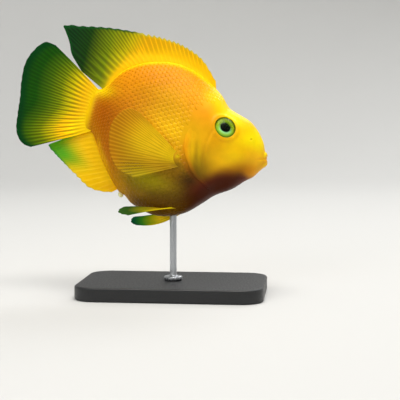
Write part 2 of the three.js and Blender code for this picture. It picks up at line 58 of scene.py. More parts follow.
camera_data = bpy.data.cameras.new("camera")
camera_data.lens = LENS
camera_data.sensor_width = SENSOR
camera = bpy.data.objects.new("camera", camera_data)
camera.location = CAMERA_AT
camera.rotation_euler = (math.radians(90 - CAMERA_DOWN), 0, math.radians(CAMERA_TURN))
bpy.context.scene.collection.objects.link(camera)
bpy.context.scene.camera = camera
bpy.context.scene.view_settings.view_transform = "Standard"
print("camera at", CAMERA_AT)

# %% [markdown]
# The studio is a wide round bowl: a pale floor that curves up into its own wall, so that no
# corner or horizon crosses the picture from any side. It is one profile spun all the way round.

# %% Floor
FLOOR_RADIUS = 1.0
WALL_CURVE = 0.8
WALL_HEIGHT = 1.8
WALL_STEPS = 12
FLOOR_COLOUR = (0.62, 0.62, 0.61, 1)
FLOOR_ROUGHNESS = 0.9


def link(piece):
    """Puts a new object in the scene and hands it back."""
    bpy.context.scene.collection.objects.link(piece)
    return piece


bowl = bmesh.new()
profile = [bowl.verts.new((0, 0, 0)), bowl.verts.new((FLOOR_RADIUS, 0, 0))]
for step in range(1, WALL_STEPS + 1):
    turn = math.radians(90 * step / WALL_STEPS)
    out = FLOOR_RADIUS + WALL_CURVE * math.sin(turn)
    profile.append(bowl.verts.new((out, 0, WALL_CURVE * (1 - math.cos(turn)))))
profile.append(bowl.verts.new((FLOOR_RADIUS + WALL_CURVE, 0, WALL_HEIGHT)))
edges = [bowl.edges.new(pair) for pair in zip(profile, profile[1:])]
bmesh.ops.spin(
    bowl, geom=profile + edges, cent=(0, 0, 0), axis=(0, 0, 1),
    angle=math.tau, steps=64, use_merge=True,
)
bmesh.ops.remove_doubles(bowl, verts=bowl.verts, dist=1e-4)
bmesh.ops.recalc_face_normals(bowl, faces=bowl.faces)
bmesh.ops.reverse_faces(bowl, faces=bowl.faces)
floor_mesh = bpy.data.meshes.new("floor")
bowl.to_mesh(floor_mesh)
bowl.free()
floor_mesh.shade_smooth()
floor_paint = bpy.data.materials.new("floor")
floor_paint.use_nodes = True
floor_shader = floor_paint.node_tree.nodes["Principled BSDF"]
floor_shader.inputs["Base Color"].default_value = FLOOR_COLOUR
floor_shader.inputs["Roughness"].default_value = FLOOR_ROUGHNESS
floor_mesh.materials.append(floor_paint)
floor = link(bpy.data.objects.new("floor", floor_mesh))
print("floor", len(floor_mesh.polygons), "faces")

# %% [markdown]
# The light comes from above, as it does through water: one large soft panel overhead, a weak
# one near the camera, one behind, and an even sky. The top of the fish is bright and its belly
# falls into shade.

# %% Lights
MIDDLE = Vector((0, 0, 0.11))
SKY_COLOUR = (0.9, 0.95, 1, 1)
SKY_STRENGTH = 0.34


def panel(name, at, size, power, colour=(1, 1, 1)):
    """A square area light that faces the middle of the model."""
    light = bpy.data.lights.new(name, "AREA")
    light.size = size
    light.energy = power
    light.color = colour
    lamp = link(bpy.data.objects.new(name, light))
    lamp.location = at
    lamp.rotation_euler = (MIDDLE - Vector(at)).to_track_quat("-Z", "Y").to_euler()


panel("overhead", at=(0.1, -0.2, 1.5), size=1.0, power=24, colour=(1, 0.97, 0.92))
panel("front", at=(-0.7, -1.1, 0.9), size=0.7, power=3)
panel("behind", at=(0.4, 1.0, 1.0), size=0.7, power=6)

sky = bpy.data.worlds.new("sky")
sky.use_nodes = True
sky.node_tree.nodes["Background"].inputs["Color"].default_value = SKY_COLOUR
sky.node_tree.nodes["Background"].inputs["Strength"].default_value = SKY_STRENGTH
bpy.context.scene.world = sky

# %% [markdown]
# A fish is easiest to draw level: x from the root of the tail fin to the snout, y to its left
# and z to its back, all in millimetres. One matrix then tips it nose down, banks it and lifts it
# onto the rod of the stand. Smooth curves through a few measured knots give its outline.

# %% The fish's own frame
MM = 0.001
NOSE_DOWN = math.radians(15)
BANK = math.radians(8)
SNOUT = 120.0
TAIL_END = -3.0
SNOUT_ROUND = 20.6
TAIL_ROUND = 4.0
MOUTH_HEIGHT = -2.4
STAND_HEIGHT = 51.0
ROD_X = 70.5
NEARBY = 0.4


def through(*knots):
    """A smooth curve through a few (position, value) knots, level beyond its ends."""
    last = len(knots) - 1
    slopes = []
    for i in range(last + 1):
        before = knots[max(i - 1, 0)]
        after = knots[min(i + 1, last)]
        slopes.append((after[1] - before[1]) / (after[0] - before[0]))

    def value(position):
        place = min(max(position, knots[0][0]), knots[last][0])
        i = 0
        while i < last - 1 and knots[i + 1][0] <= place:
            i += 1
        step = knots[i + 1][0] - knots[i][0]
        t = (place - knots[i][0]) / step
        t2, t3 = t * t, t * t * t
        return (
            (2 * t3 - 3 * t2 + 1) * knots[i][1]
            + (t3 - 2 * t2 + t) * step * slopes[i]
            + (3 * t2 - 2 * t3) * knots[i + 1][1]
            + (t3 - t2) * step * slopes[i + 1]
        )

    return value


back = through(
    (-3, 15.2), (2, 15.8), (6, 20), (12.5, 30.5), (20, 37), (31, 42.3), (45, 45), (58, 43.3),
    (70, 38.3), (80, 32.3), (86.5, 26), (91, 24.2), (101.6, 21.3), (106, 19.7),
    (111.2, 17.3), (114.7, 14.7), (116.4, 11.3), (118.4, 8.6), (120.6, 8),
)
belly = through(
    (-3, -13.2), (4.5, -13.8), (9, -19), (17, -30.7), (31, -45), (36.5, -47.2), (42, -50.9),
    (57, -54.3), (70, -51.6), (79, -46.3), (87, -38), (93, -31.5), (103.5, -24.2),
    (107, -21.3), (110.6, -18.9), (114, -17.4), (117, -13.5), (120.6, -10),
)
half_width = through(
    (-3, 2.8), (4, 4.6), (12, 9), (25, 14.5), (40, 19), (56, 22), (70, 22.8), (80, 22),
    (90, 19), (100, 15.8), (110, 13), (120.6, 10.5),
)
widest = through((-3, 1), (20, 0), (45, -3), (70, -6), (90, -4), (105, -3), (120.6, -2.4))
ridge = through((-3, 1), (20, 1.35), (60, 1.35), (86, 1.15), (105, 1), (120.6, 1))
keel = through((-3, 1), (10, 1.3), (30, 1.25), (50, 0.95), (75, 0.95), (95, 1.1), (120.6, 1))


def openness(x):
    """How far the outline has closed in on the mouth or the tail's end, 1 being not at all."""
    front = max(0, (x - (SNOUT - SNOUT_ROUND)) / SNOUT_ROUND)
    rear = max(0, (TAIL_END + TAIL_ROUND - x) / TAIL_ROUND)
    closed = min(1, max(front, rear))
    return math.sqrt(1 - closed * closed)


def section(x):
    """The cross-section at x: its half width, heights and how sharp its back and keel are."""
    open_ = openness(x)
    middle = MOUTH_HEIGHT if x > 60 else 1
    level = middle + (widest(x) - middle) * open_
    top = middle + (back(x) - middle) * open_
    bottom = middle + (belly(x) - middle) * open_
    return half_width(x) * open_, level, top, bottom, ridge(x), keel(x)


def on_section(cut, x, angle):
    """A point of the skin on a cross-section. The angle starts at the back, left positive."""
    width, level, top, bottom, sharp_back, sharp_keel = cut
    rise = math.cos(angle)
    reach = abs(math.sin(angle)) ** (sharp_back if rise > 0 else sharp_keel)
    height = level + rise * ((top - level) if rise > 0 else (level - bottom))
    return Vector((x, math.copysign(width * reach, angle), height))


def skin(x, angle):
    """A point of the skin in the fish's own frame."""
    return on_section(section(x), x, angle)


def skin_at(x, z, side):
    """The skin at a height, on the left for side 1 and on the right for side -1."""
    _, level, top, bottom, _, _ = cut = section(x)
    part = top - level if z > level else level - bottom
    return on_section(cut, x, side * math.acos(min(1, max(-1, (z - level) / part))))


def normal_at(x, z, side):
    """The way out of the skin at a height, from places a little way off on each side."""
    along = skin_at(x + NEARBY, z, side) - skin_at(x - NEARBY, z, side)
    up = skin_at(x, z + NEARBY, side) - skin_at(x, z - NEARBY, side)
    return (along.cross(up) * -side).normalized()


turned = Matrix.Rotation(NOSE_DOWN, 4, "Y") @ Matrix.Rotation(-BANK, 4, "X")
perch = turned @ Vector((ROD_X, 0, belly(ROD_X)))
FISH = Matrix.Scale(MM, 4) @ Matrix.Translation(Vector((0, 0, STAND_HEIGHT)) - perch) @ turned
print("snout at", [round(v, 4) for v in FISH @ Vector((SNOUT, 0, MOUTH_HEIGHT))])

# %% [markdown]
# Colours are mixed here once, as a painter sets out a palette. The paint is laid on in soft
# strokes, each an ellipse with a centre and two radii, over a gold ground, the way an airbrush
# tints a cast model; a few of the strokes are painted light and shade. Soft bands then follow the
# back, the gill cover, the belly and the throat, and most of them are painted light and shade too:
# a painted highlight along the back, a painted shadow behind the gill cover, and painted shade over
# the belly, the jaw, the throat and the keel. The same function paints the skin and the scales, so
# they always agree.

# %% Palette
def paint(code):
    """A colour in linear light from its usual hex code."""
    parts = [int(code[i:i + 2], 16) / 255 for i in (0, 2, 4)]
    return Vector([p / 12.92 if p < 0.04045 else ((p + 0.055) / 1.055) ** 2.4 for p in parts])


GOLD = paint("dfa108")
BRIGHT = paint("ffd400")
LEMON = paint("ffe600")
ORANGE = paint("f79a00")
AMBER = paint("e08600")
RUST = paint("b95f00")
CHEEK = paint("ffc40c")
MOUTH = paint("ffc41c")
# Painted shade: the throat, the belly, and the deepest shade below the gill cover and along the
# keel.
THROAT_SHADE = paint("641802")
BELLY_SHADE = paint("684c04")
DEEP_SHADE = paint("361600")
SADDLE = paint("8c4a00")
OLIVE = paint("8f7c04")
OLIVE_GOLD = paint("b8a800")
FOREST = paint("17420a")
PALE = paint("f2ecae")


def soft(start, end, value):
    """0 below start, 1 above end and smooth between; start may be the larger."""
    t = min(1, max(0, (value - start) / (end - start)))
    return t * t * (3 - 2 * t)


def hump(offset, width):
    """1 at an offset of 0, falling away smoothly on both sides over a width."""
    return math.exp(-(offset / width) ** 2)


def shade(position, *stops):
    """The colour at a position along a few (position, colour) stops."""
    for (start, first), (end, second) in zip(stops, stops[1:]):
        if position < end:
            return first.lerp(second, max(0, (position - start) / (end - start)))
    return stops[-1][1]


def stroke(x, z, centre, radii, tilt=0):
    """How strongly a soft elliptical stroke of paint covers a place of the side view."""
    dx, dz = x - centre[0], z - centre[1]
    turn = math.radians(tilt)
    a = (dx * math.cos(turn) + dz * math.sin(turn)) / radii[0]
    b = (dz * math.cos(turn) - dx * math.sin(turn)) / radii[1]
    return math.exp(-(a * a + b * b))


gill_edge = through(
    (-42, 97), (-31, 91.5), (-27.6, 86), (-23.8, 79), (-16.5, 72.5), (-8, 68), (4, 67.5),
    (14, 69.5), (23.5, 75.5), (31, 80.5), (42, 83),
)

# Each stroke is its colour, centre, radii, tilt and strength, in the order it is laid on.
STROKES = [
    (AMBER, (34, 30), (22, 9), 8, 0.75),
    (AMBER, (20, 18), (11, 16), 0, 0.6),
    (AMBER, (20, 3), (17, 18), 0, 0.7),
    (RUST, (9, 1), (11, 13), 10, 0.97),
    (RUST, (19, -21), (9, 23), 30, 0.8),
    (ORANGE, (72, 22), (17, 11), -25, 0.75),
    (CHEEK, (96, -6), (15, 13), 0, 0.75),
    (BRIGHT, (79, 28), (9, 6), -35, 0.85),
    (LEMON, (90, 20), (14, 6), -18, 0.95),
    (LEMON, (107, 8), (8, 15), -35, 0.95),
    (LEMON, (112, 6), (6, 6), 0, 0.7),
    (BRIGHT, (3, 15), (8, 4), 0, 0.95),
    (MOUTH, (112.5, -3.5), (7, 6.5), 0, 0.92),
    (AMBER, (109, -12), (9, 5.5), 35, 0.75),
    (OLIVE, (79, -17), (6, 10), 30, 0.6),
    (OLIVE, (71.5, -3), (1.5, 9), 8, 0.2),
    (OLIVE, (75.5, -7), (1.6, 9), 12, 0.4),
    (BRIGHT, (73.5, -9), (1.1, 7), 14, 0.4),
    (BRIGHT, (78, -10), (1.2, 8), 14, 0.35),
    (ORANGE, (86, 1), (5, 6), 0, 0.2),
    # Painted shade below the breast fin's root, then a painted highlight, a small glint, on it.
    (BELLY_SHADE, (66, -20.5), (3.2, 1.8), 20, 0.55),
    (LEMON, (65.3, -14.8), (1.5, 1.0), 20, 0.75),
    (RUST, (34, 16), (14, 7), 10, 0.3),
    (RUST, (22, -4), (6, 13), 0, 0.3),
    (RUST, (13, -7), (6, 8), 0, 0.3),
    (CHEEK, (55, 0), (18, 8), 0, 0.75),
    (ORANGE, (77, 19), (5, 5), 0, 0.5),
    (ORANGE, (104, 1), (8, 5), 0, 0.35),
    (OLIVE, (61, -19.5), (9, 4), 0, 0.35),
    (SADDLE, (14, -2), (9, 12), 0, 0.24),
    (SADDLE, (26, -9), (10, 15), 0, 0.32),
]
# These go on last, over the painted shade of the belly: more painted shade there, a painted shadow
# below the gill cover, and olive, gold and cheek strokes that lighten it again in places.
LATE_STROKES = [
    (BELLY_SHADE, (50, -27), (12, 4), 0, 0.25),
    (OLIVE, (50, -36), (14, 6.5), 0, 0.6),
    (OLIVE_GOLD, (50, -33), (14, 5), 0, 0.68),
    (DEEP_SHADE, (77, -28), (11.5, 8.5), -12, 0.88),
    (CHEEK, (88, -10), (6, 4), 0, 0.35),
    (CHEEK, (72, -11), (3.5, 6), 10, 0.35),
]


def brushed(colour, strokes, x, z):
    """A colour with a list of strokes laid over it."""
    for tint, centre, radii, tilt, strength in strokes:
        colour = colour.lerp(tint, strength * stroke(x, z, centre, radii, tilt))
    return colour


def body_paint(p):
    """The colour of the skin at a point of the fish's own frame."""
    x, z = p.x, p.z
    depth, low = back(x) - z, z - belly(x)
    colour = GOLD.lerp(ORANGE, 0.85 * (1 - soft(4, 22, depth)) * soft(4, 20, x))
    colour = brushed(colour, STROKES, x, z)
    # A painted highlight along the back, where its top catches the light, and bright skin where the
    # tail fin starts.
    colour = colour.lerp(BRIGHT, 0.9 * (1 - soft(0.5, 4, depth)) * (1 - soft(95, 110, x)))
    colour = colour.lerp(BRIGHT, 0.8 * (1 - soft(-2, 3.5, x)))
    # The gill cover's edge, orange on it with a painted shadow just behind its lower part, and
    # painted shade over the belly.
    edge = x - gill_edge(z)
    if z < 26:
        colour = colour.lerp(ORANGE, 0.85 * hump(edge - 0.7, 1.6) * soft(6, -12, z))
    under = (1 - soft(12, 48, low)) * soft(18, 44, x) * (1 - soft(76, 94, x))
    colour = colour.lerp(BELLY_SHADE, 0.88 * under * (0.6 + 0.4 * soft(2, 14, low)))
    colour = colour.lerp(RUST, 0.6 * hump(edge + 2.4, 2.2) * soft(-6, -18, z))
    colour = brushed(colour, LATE_STROKES, x, z)
    # A lighter lower edge on the tail stem, then painted shade on the jaw, the throat and the keel.
    stem_edge = (1 - soft(1, 9, low)) * soft(8, 12, x) * (1 - soft(18, 26, x))
    colour = colour.lerp(CHEEK, 0.55 * stem_edge)
    jaw = (1 - soft(8, 21, low)) * soft(84, 98, x) * (1 - soft(98, 110, x))
    colour = colour.lerp(RUST, 0.8 * jaw)
    height = 23 - 11 * soft(86, 106, x) - 6 * soft(104, 112, x)
    throat = (1 - soft(0.45 * height, height, low)) * soft(70, 84, x) * (1 - soft(108, 117, x))
    colour = colour.lerp(THROAT_SHADE, 0.97 * throat)
    reach = 8 + 7 * soft(44, 60, x)
    keel_shade = (1 - soft(0.4 * reach, 1.3 * reach, low)) * soft(34, 48, x)
    return colour.lerp(DEEP_SHADE, 0.72 * keel_shade * (1 - soft(103, 114, x)))


print("palette mixed; flank", [round(c, 3) for c in body_paint(Vector((50, 20, 0)))])

# %% [markdown]
# Every organic surface here needs the same living quality: paint that varies a little from
# place to place, a fine grain, and a wet gloss that breaks up. That effect is one node group,
# built once, with its own values in each material. It puts out a colour, a roughness and a
# height for the Bump node.

# %% Helpers for materials
def add(tree, kind, inputs=None, **settings):
    """Adds a node, sets its own settings, and links or fills its inputs by name or number."""
    made = tree.nodes.new(kind)
    for key, value in settings.items():
        setattr(made, key, value)
    for key, value in (inputs or {}).items():
        if isinstance(value, bpy.types.NodeSocket):
            tree.links.new(value, made.inputs[key])
        else:
            made.inputs[key].default_value = value
    return made


def math_node(tree, operation, a, b=0.0):
    """The result of one sum."""
    return add(tree, "ShaderNodeMath", {0: a, 1: b}, operation=operation).outputs[0]


def attribute(tree, name, output="Fac"):
    """A value, or with "Color" a colour, that a piece carries on its points."""
    return add(tree, "ShaderNodeAttribute", attribute_name=name).outputs[output]


def noise(tree, place, scale, detail, roughness=0.5):
    """Soft clouds of values round 0.5."""
    return add(
        tree, "ShaderNodeTexNoise",
        {"Vector": place, "Scale": scale, "Detail": detail, "Roughness": roughness},
    ).outputs["Fac"]


def mapped(tree, value, start, end, to_start=0.0, to_end=1.0, **settings):
    """A value stretched from one range to another."""
    limits = {"From Min": start, "From Max": end, "To Min": to_start, "To Max": to_end}
    stretch = add(tree, "ShaderNodeMapRange", {"Value": value, **limits}, **settings)
    return stretch.outputs["Result"]


def brighter(tree, colour, value):
    """A colour whose brightness is multiplied by a value."""
    made = add(tree, "ShaderNodeHueSaturation", {"Value": value, "Color": colour})
    return made.outputs["Color"]


def bumped(tree, height, distance, strength):
    """The normal of a surface with a fine relief."""
    values = {"Height": height, "Distance": distance, "Strength": strength}
    return add(tree, "ShaderNodeBump", values).outputs["Normal"]


def new_group(name, inputs, outputs):
    """A node group with its sockets, and its input and output nodes."""
    group = bpy.data.node_groups.new(name, "ShaderNodeTree")
    for kind, sockets in (("INPUT", inputs), ("OUTPUT", outputs)):
        for socket, (socket_type, default) in sockets.items():
            made = group.interface.new_socket(socket, in_out=kind, socket_type=socket_type)
            if default is not None:
                made.default_value = default
    return group, group.nodes.new("NodeGroupInput"), group.nodes.new("NodeGroupOutput")


def new_material(name):
    """An empty node material with its output."""
    material = bpy.data.materials.new(name)
    material.use_nodes = True
    material.node_tree.nodes.clear()
    return material, material.node_tree, material.node_tree.nodes.new("ShaderNodeOutputMaterial")


def surface(tree, output, values):
    """The shader of a material, with its values by name, wired to the output."""
    made = add(tree, "ShaderNodeBsdfPrincipled", values)
    tree.links.new(made.outputs["BSDF"], output.inputs["Surface"])
    return made


COLOUR, NUMBER = "NodeSocketColor", "NodeSocketFloat"

living, given, result = new_group(
    "living_surface",
    {
        "Colour": (COLOUR, (1, 1, 1, 1)),
        "Mottle": (NUMBER, 0.1),
        "Mottle Scale": (NUMBER, 120.0),
        "Grain": (NUMBER, 0.2),
        "Grain Scale": (NUMBER, 2500.0),
        "Roughness": (NUMBER, 0.4),
    },
    {"Colour": (COLOUR, None), "Roughness": (NUMBER, None), "Height": (NUMBER, None)},
)
place = add(living, "ShaderNodeTexCoord").outputs["Object"]
clouds = noise(living, place, given.outputs["Mottle Scale"], 4.0, 0.6)
grain = noise(living, place, given.outputs["Grain Scale"], 2.0)
centred = math_node(living, "SUBTRACT", clouds, 0.5)
swing = math_node(living, "MULTIPLY", centred, given.outputs["Mottle"])
rough_swing = math_node(living, "MULTIPLY", centred, 0.35)
outcomes = {
    "Colour": brighter(living, given.outputs["Colour"], math_node(living, "ADD", swing, 1.0)),
    "Roughness": math_node(living, "ADD", rough_swing, given.outputs["Roughness"]),
    "Height": math_node(living, "MULTIPLY", grain, given.outputs["Grain"]),
}
for socket, made in outcomes.items():
    living.links.new(made, result.inputs[socket])
print("node group", living.name, "with", len(living.nodes), "nodes")

# %% [markdown]
# Skin and scales share one recipe. The paint comes in on an attribute that each piece carries. A
# second attribute, "edge", is 1 at the free rim of a scale and 0 over its root, which gives the rim
# a slightly paler painted highlight and the rest of the scale a faint painted shade. Lips, rims and
# flaps lie between the two.

# %% Skin and scale materials
FLESH_ROUGHNESS = 0.42
WET_COAT = 0.03
# Painted shade over a scale, and a painted highlight on its rim.
ROOT_SHADE_RIM_HIGHLIGHT = (0.98, 1.04)


def flesh_material(name, mottle, grain):
    """A wet, slightly translucent surface that wears its own paint."""
    material, tree, output = new_material(name)
    rim = mapped(tree, attribute(tree, "edge"), 0, 1, *ROOT_SHADE_RIM_HIGHLIGHT)
    colour = brighter(tree, attribute(tree, "paint", "Color"), rim)
    group = add(
        tree, "ShaderNodeGroup",
        {"Colour": colour, "Mottle": mottle, "Grain": grain, "Roughness": FLESH_ROUGHNESS},
        node_tree=living,
    )
    surface(tree, output, {
        "Base Color": group.outputs["Colour"],
        "Roughness": group.outputs["Roughness"],
        "Normal": bumped(tree, group.outputs["Height"], distance=0.0001, strength=0.5),
        "Specular IOR Level": 0.09,
        "Coat Weight": WET_COAT,
        "Coat Roughness": 0.2,
        "Subsurface Weight": 0.06,
        "Subsurface Radius": (0.003, 0.0014, 0.0004),
        "Subsurface Scale": 0.5,
    })
    return material


skin_finish = flesh_material("skin", mottle=0.3, grain=0.5)
scale_finish = flesh_material("scales", mottle=0.14, grain=0.25)
print("materials", skin_finish.name, scale_finish.name)

# %% [markdown]
# The body is one closed skin. A sphere already has the right plan for a fish: a pole at the
# tail, a pole at the mouth and rings between. Its rings are moved out to the cross-sections of
# the body, with more of them towards the head, where the small forms are. Small forms are then
# pushed in or out along the surface's own normals: the socket of each eye, the fold behind the
# gill cover, the cheek's ridge, the fold along the jaw, the slit of the mouth, the swelling that
# carries each breast fin and the hollow of each nostril.

# %% Skin
RINGS = 330
AROUND = 260
EYE = {"x": 88.7, "z": 11.2, "radius": 8.2, "depth": 5.4, "sunk": 3.1, "shows": 6.8}
SOCKET = {"radius": 7.0, "depth": 4.0, "roll": 0.7, "roll_at": 8.3, "roll_width": 1.3}
GILL_FOLD = 0.5
CHEEK_GROOVE, CHEEK_RIDGE = 0.35, 0.3
JAW_FOLD = 0.22
MOUTH_SLIT = 0.4
PAD_RISE = 1.0
NOSTRIL = {"x": 106.5, "z": 8.5, "depth": 0.6, "rim": 0.15}
# The swelling under each breast fin: its centre, radii and tilt.
PAD = ((65.6, -17.0), (4, 5), 20)
# What a finished piece keeps on its points. The rest only helps to build it.
KEPT_LAYERS = {"position", "paint", "edge", "ring", "height", "ray"}


def new_layers(bm, *names):
    """Gives a mesh its paint and some numbers, and hands back the layers, paint first."""
    bm.verts.layers.float_color.new("paint")
    for name in names:
        bm.verts.layers.float.new(name)
    numbers = [bm.verts.layers.float[name] for name in names]
    return [bm.verts.layers.float_color["paint"], *numbers]


def new_piece(name, bm, material):
    """Makes a finished object of a bmesh and hangs it on the model's one body."""
    mesh = bpy.data.meshes.new(name)
    bm.to_mesh(mesh)
    bm.free()
    spare = [a.name for a in mesh.attributes if a.domain == "POINT" and a.name not in KEPT_LAYERS]
    for spare_name in spare:
        mesh.attributes.remove(mesh.attributes[spare_name])
    mesh.shade_smooth()
    mesh.materials.append(material)
    piece = link(bpy.data.objects.new(name, mesh))
    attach(piece, "root")
    print(name, "has", len(mesh.polygons), "faces")
    return piece


def to_world(bm):
    """Moves a mesh from the fish's own frame to its place over the stand."""
    bmesh.ops.transform(bm, matrix=FISH, verts=bm.verts)


def flesh_piece(name, bm):
    """Finishes one small closed piece of flesh: in its place, faces out, in the skin's slot."""
    to_world(bm)
    bmesh.ops.recalc_face_normals(bm, faces=bm.faces)
    new_piece(name, bm, skin_finish)


def eye_frame(side):
    """The eye's place on the skin, its way out, and the ways ahead and up across it."""
    base = skin_at(EYE["x"], EYE["z"], side)
    out = normal_at(EYE["x"], EYE["z"], side)
    up = (Vector((0, 0, 1)) - out * out.z).normalized()
    return base, out, out.cross(up) * side, up


EYE_FRAMES = {side: eye_frame(side) for side in (1, -1)}
mouth_line = through((108, -4.2), (113, -2.6), (118, -0.6), (122, 0.4))


def relief(p):
    """How far the skin stands out at a point, past its plain outline."""
    x, z = p.x, p.z
    # The eye's socket, in a roll of flesh.
    base, way_out, _, _ = EYE_FRAMES[1 if p.y > 0 else -1]
    across = p - base
    to_eye = (across - way_out * across.dot(way_out)).length
    out = -SOCKET["depth"] * (1 - soft(SOCKET["radius"] - 0.8, SOCKET["radius"] + 0.4, to_eye))
    out += SOCKET["roll"] * hump(to_eye - SOCKET["roll_at"], SOCKET["roll_width"])
    # The fold that the gill cover's edge lies over.
    if -30 < z < 25:
        behind = gill_edge(z) - x
        shut = soft(25, 19, z) * soft(-30, -26, z) * soft(8, -10, z)
        out -= GILL_FOLD * shut * soft(-2.5, 0.2, behind) * math.exp(-max(0, behind) / 2.4)
    # The cheek's groove, with a ridge ahead of it.
    cheek = x - (80.5 + 0.012 * (z + 4) ** 2)
    if -22 < z < 12:
        out -= CHEEK_GROOVE * hump(cheek, 0.8) * soft(-22, -14, z) * soft(12, 4, z)
        out += CHEEK_RIDGE * hump(cheek - 1.8, 1.6) * soft(12, 4, z)
    # The jaw's fold, and the slit of the mouth.
    to_fold = z - (-15.5 - 0.25 * (x - 100))
    if 88 < x < 114:
        out -= JAW_FOLD * hump(to_fold, 1.5) * soft(88, 96, x) * soft(114, 106, x)
    out -= MOUTH_SLIT * hump(z - mouth_line(x), 0.6) * soft(112.5, 115, x)
    out += PAD_RISE * stroke(x, z, *PAD)
    # The nostril, in its own small rim.
    to_nostril = math.hypot(x - NOSTRIL["x"], z - NOSTRIL["z"])
    out -= NOSTRIL["depth"] * (1 - soft(0.35, 0.8, to_nostril))
    return out + NOSTRIL["rim"] * hump(to_nostril - 1.2, 0.5)


def mapped_ball(bm, around, rings):
    """A sphere whose rings become cross-sections: returns each vertex with its ring and angle."""
    bmesh.ops.create_uvsphere(bm, u_segments=around, v_segments=rings, radius=1)
    return [
        (v, 1 - math.acos(max(-1, min(1, v.co.z))) / math.pi, math.atan2(v.co.x, v.co.y))
        for v in bm.verts
    ]


body = bmesh.new()
(paint_layer,) = new_layers(body)
middle, half = (SNOUT + TAIL_END) / 2, (SNOUT - TAIL_END) / 2
cuts = {}
for v, ring, angle in mapped_ball(body, AROUND, RINGS):
    x = middle - half * math.cos(math.pi * ring ** 0.85)
    key = round(ring, 5)
    if key not in cuts:
        cuts[key] = section(x)
    v.co = on_section(cuts[key], x, angle)
body.normal_update()
for v in body.verts:
    plain = v.co.copy()
    v.co += v.normal * relief(plain)
    v[paint_layer] = (*body_paint(plain), 1)
to_world(body)
bmesh.ops.recalc_face_normals(body, faces=body.faces)
body_skin = new_piece("body_skin", body, skin_finish)
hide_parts("head", "lower_jaw", "torso", "tail_stem")

# %% [markdown]
# The gill cover's rear edge is a free flap: it lies on the body and ends in a thin rim with an
# orange line along it, and above it melts into the cheek. The skin's own rings cross that edge
# at a slant and couldn't draw it cleanly, so the flap is a sheet of its own, with one side of
# its grid along the edge. The grid is laid on the skin and thickened into a closed plate, and
# the front of the plate sinks into the cheek, where it disappears. The fins and scales are made
# by the same two steps.

# %% Sheets and plates
def grid_sheet(bm, columns, rows, place):
    """A grid whose layers u and v run from 0 to 1, with each vertex moved to place(u, v)."""
    u_layer, v_layer = bm.verts.layers.float["u"], bm.verts.layers.float["v"]
    bmesh.ops.create_grid(bm, x_segments=columns, y_segments=rows, size=1)
    for vert in bm.verts:
        vert[u_layer] = (vert.co.x + 1) / 2
        vert[v_layer] = (vert.co.y + 1) / 2
        vert.co = place(vert[u_layer], vert[v_layer])


def thicken(bm, outward, faces_at):
    """Gives a sheet two faces; faces_at(vert) says how far out the upper and lower ones lie."""
    mate = bm.verts.layers.int.new("mate")
    bm.normal_update()
    facing = 1 if sum(v.normal.dot(outward) for v in bm.verts) > 0 else -1
    moves = []
    for number, vert in enumerate(bm.verts):
        vert[mate] = number
        moves.append([vert.normal * facing * height for height in faces_at(vert)])
    count = len(moves)
    bmesh.ops.extrude_face_region(bm, geom=bm.faces[:])
    for number, vert in enumerate(bm.verts):
        vert.co += moves[vert[mate]][0 if number >= count else 1]
    bmesh.ops.recalc_face_normals(bm, faces=bm.faces)


FLAP_TOP = 23.0
FLAP_BOTTOM = -29.0
FLAP_WIDTH = 13.0
FLAP_LIFT = 0.8
FLAP_SUNK = 0.2
CREASE = 0.12
FLAP_UNDERSIDE = -0.9
FLAP_GRID = (150, 44)


def gill_flap(side_name, side):
    """The free rear part of one gill cover, with u down its edge and w ahead from it."""
    bm = bmesh.new()
    paint_layer, edge_layer, u_layer, v_layer = new_layers(bm, "edge", "u", "v")

    def spot(u, w):
        z = FLAP_TOP + (FLAP_BOTTOM - FLAP_TOP) * u
        ends = max(0, math.sin(math.pi * u)) ** 0.35
        return gill_edge(z) - 0.5 + FLAP_WIDTH * w * max(0.25, ends), z, ends

    def place(u, w):
        x, z, _ = spot(u, w)
        return skin_at(x, z, side)

    grid_sheet(bm, *FLAP_GRID, place)
    for v in bm.verts:
        v[paint_layer] = (*body_paint(v.co), 1)
        v[edge_layer] = 0.5

    def faces_at(v):
        w = v[v_layer]
        x, z, ends = spot(v[u_layer], w)
        free = soft(9, -9, z)
        raised = FLAP_LIFT * free * (1 - soft(0, 1, w)) * ends - FLAP_SUNK * (1 - free)
        waves = math.sin((x - gill_edge(z)) * 1.9 + 1.5 * math.sin(z * 0.12))
        crease = CREASE * waves * soft(0, 0.2, w)
        rounding = 0.3 * (1 - soft(0, 0.05, w))
        out = raised + crease * free * ends * (1 - w) - rounding - 0.25 * soft(0.6, 1, w)
        return out, FLAP_UNDERSIDE

    thicken(bm, Vector((0, side, 0)), faces_at)
    to_world(bm)
    flap = new_piece("gill_flap_" + side_name, bm, skin_finish)
    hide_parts("gill_cover_" + side_name)


SIDES = {"left": 1, "right": -1}
for side_name, side in SIDES.items():
    gill_flap(side_name, side)

# %% [markdown]
# The eye is the sharpest thing in the photo: a black pupil in a pale ring, set in green with
# dark flecks, inside a dark rim. The eyeball is a flattened ball that turns to face straight out
# of the skin. Its rings are drawn by how far each point is from the eye's own axis, kept as an
# attribute, and a second attribute says how high on the eye a point lies, because the green
# above turns to a pale mint below. A fleshy rim closes the gap between ball and socket.

# %% Eye material
eye_finish, eye_tree, eye_output = new_material("eye")
height_in = attribute(eye_tree, "height")
eye_place = add(eye_tree, "ShaderNodeTexCoord").outputs["Object"]
wobble = math_node(eye_tree, "SUBTRACT", noise(eye_tree, eye_place, 420.0, 3.0), 0.5)
wobble_swing = math_node(eye_tree, "MULTIPLY", wobble, 0.09)
ring_at = math_node(eye_tree, "ADD", attribute(eye_tree, "ring"), wobble_swing)


def ramp(tree, value, *stops):
    """A colour ramp from (position, colour) stops."""
    made = add(tree, "ShaderNodeValToRGB", {"Fac": value})
    elements = made.color_ramp.elements
    while len(elements) < len(stops):
        elements.new(0.5)
    for element, (position, colour) in zip(elements, stops):
        element.position = position
        element.color = (*colour, 1)
    return made.outputs["Color"]


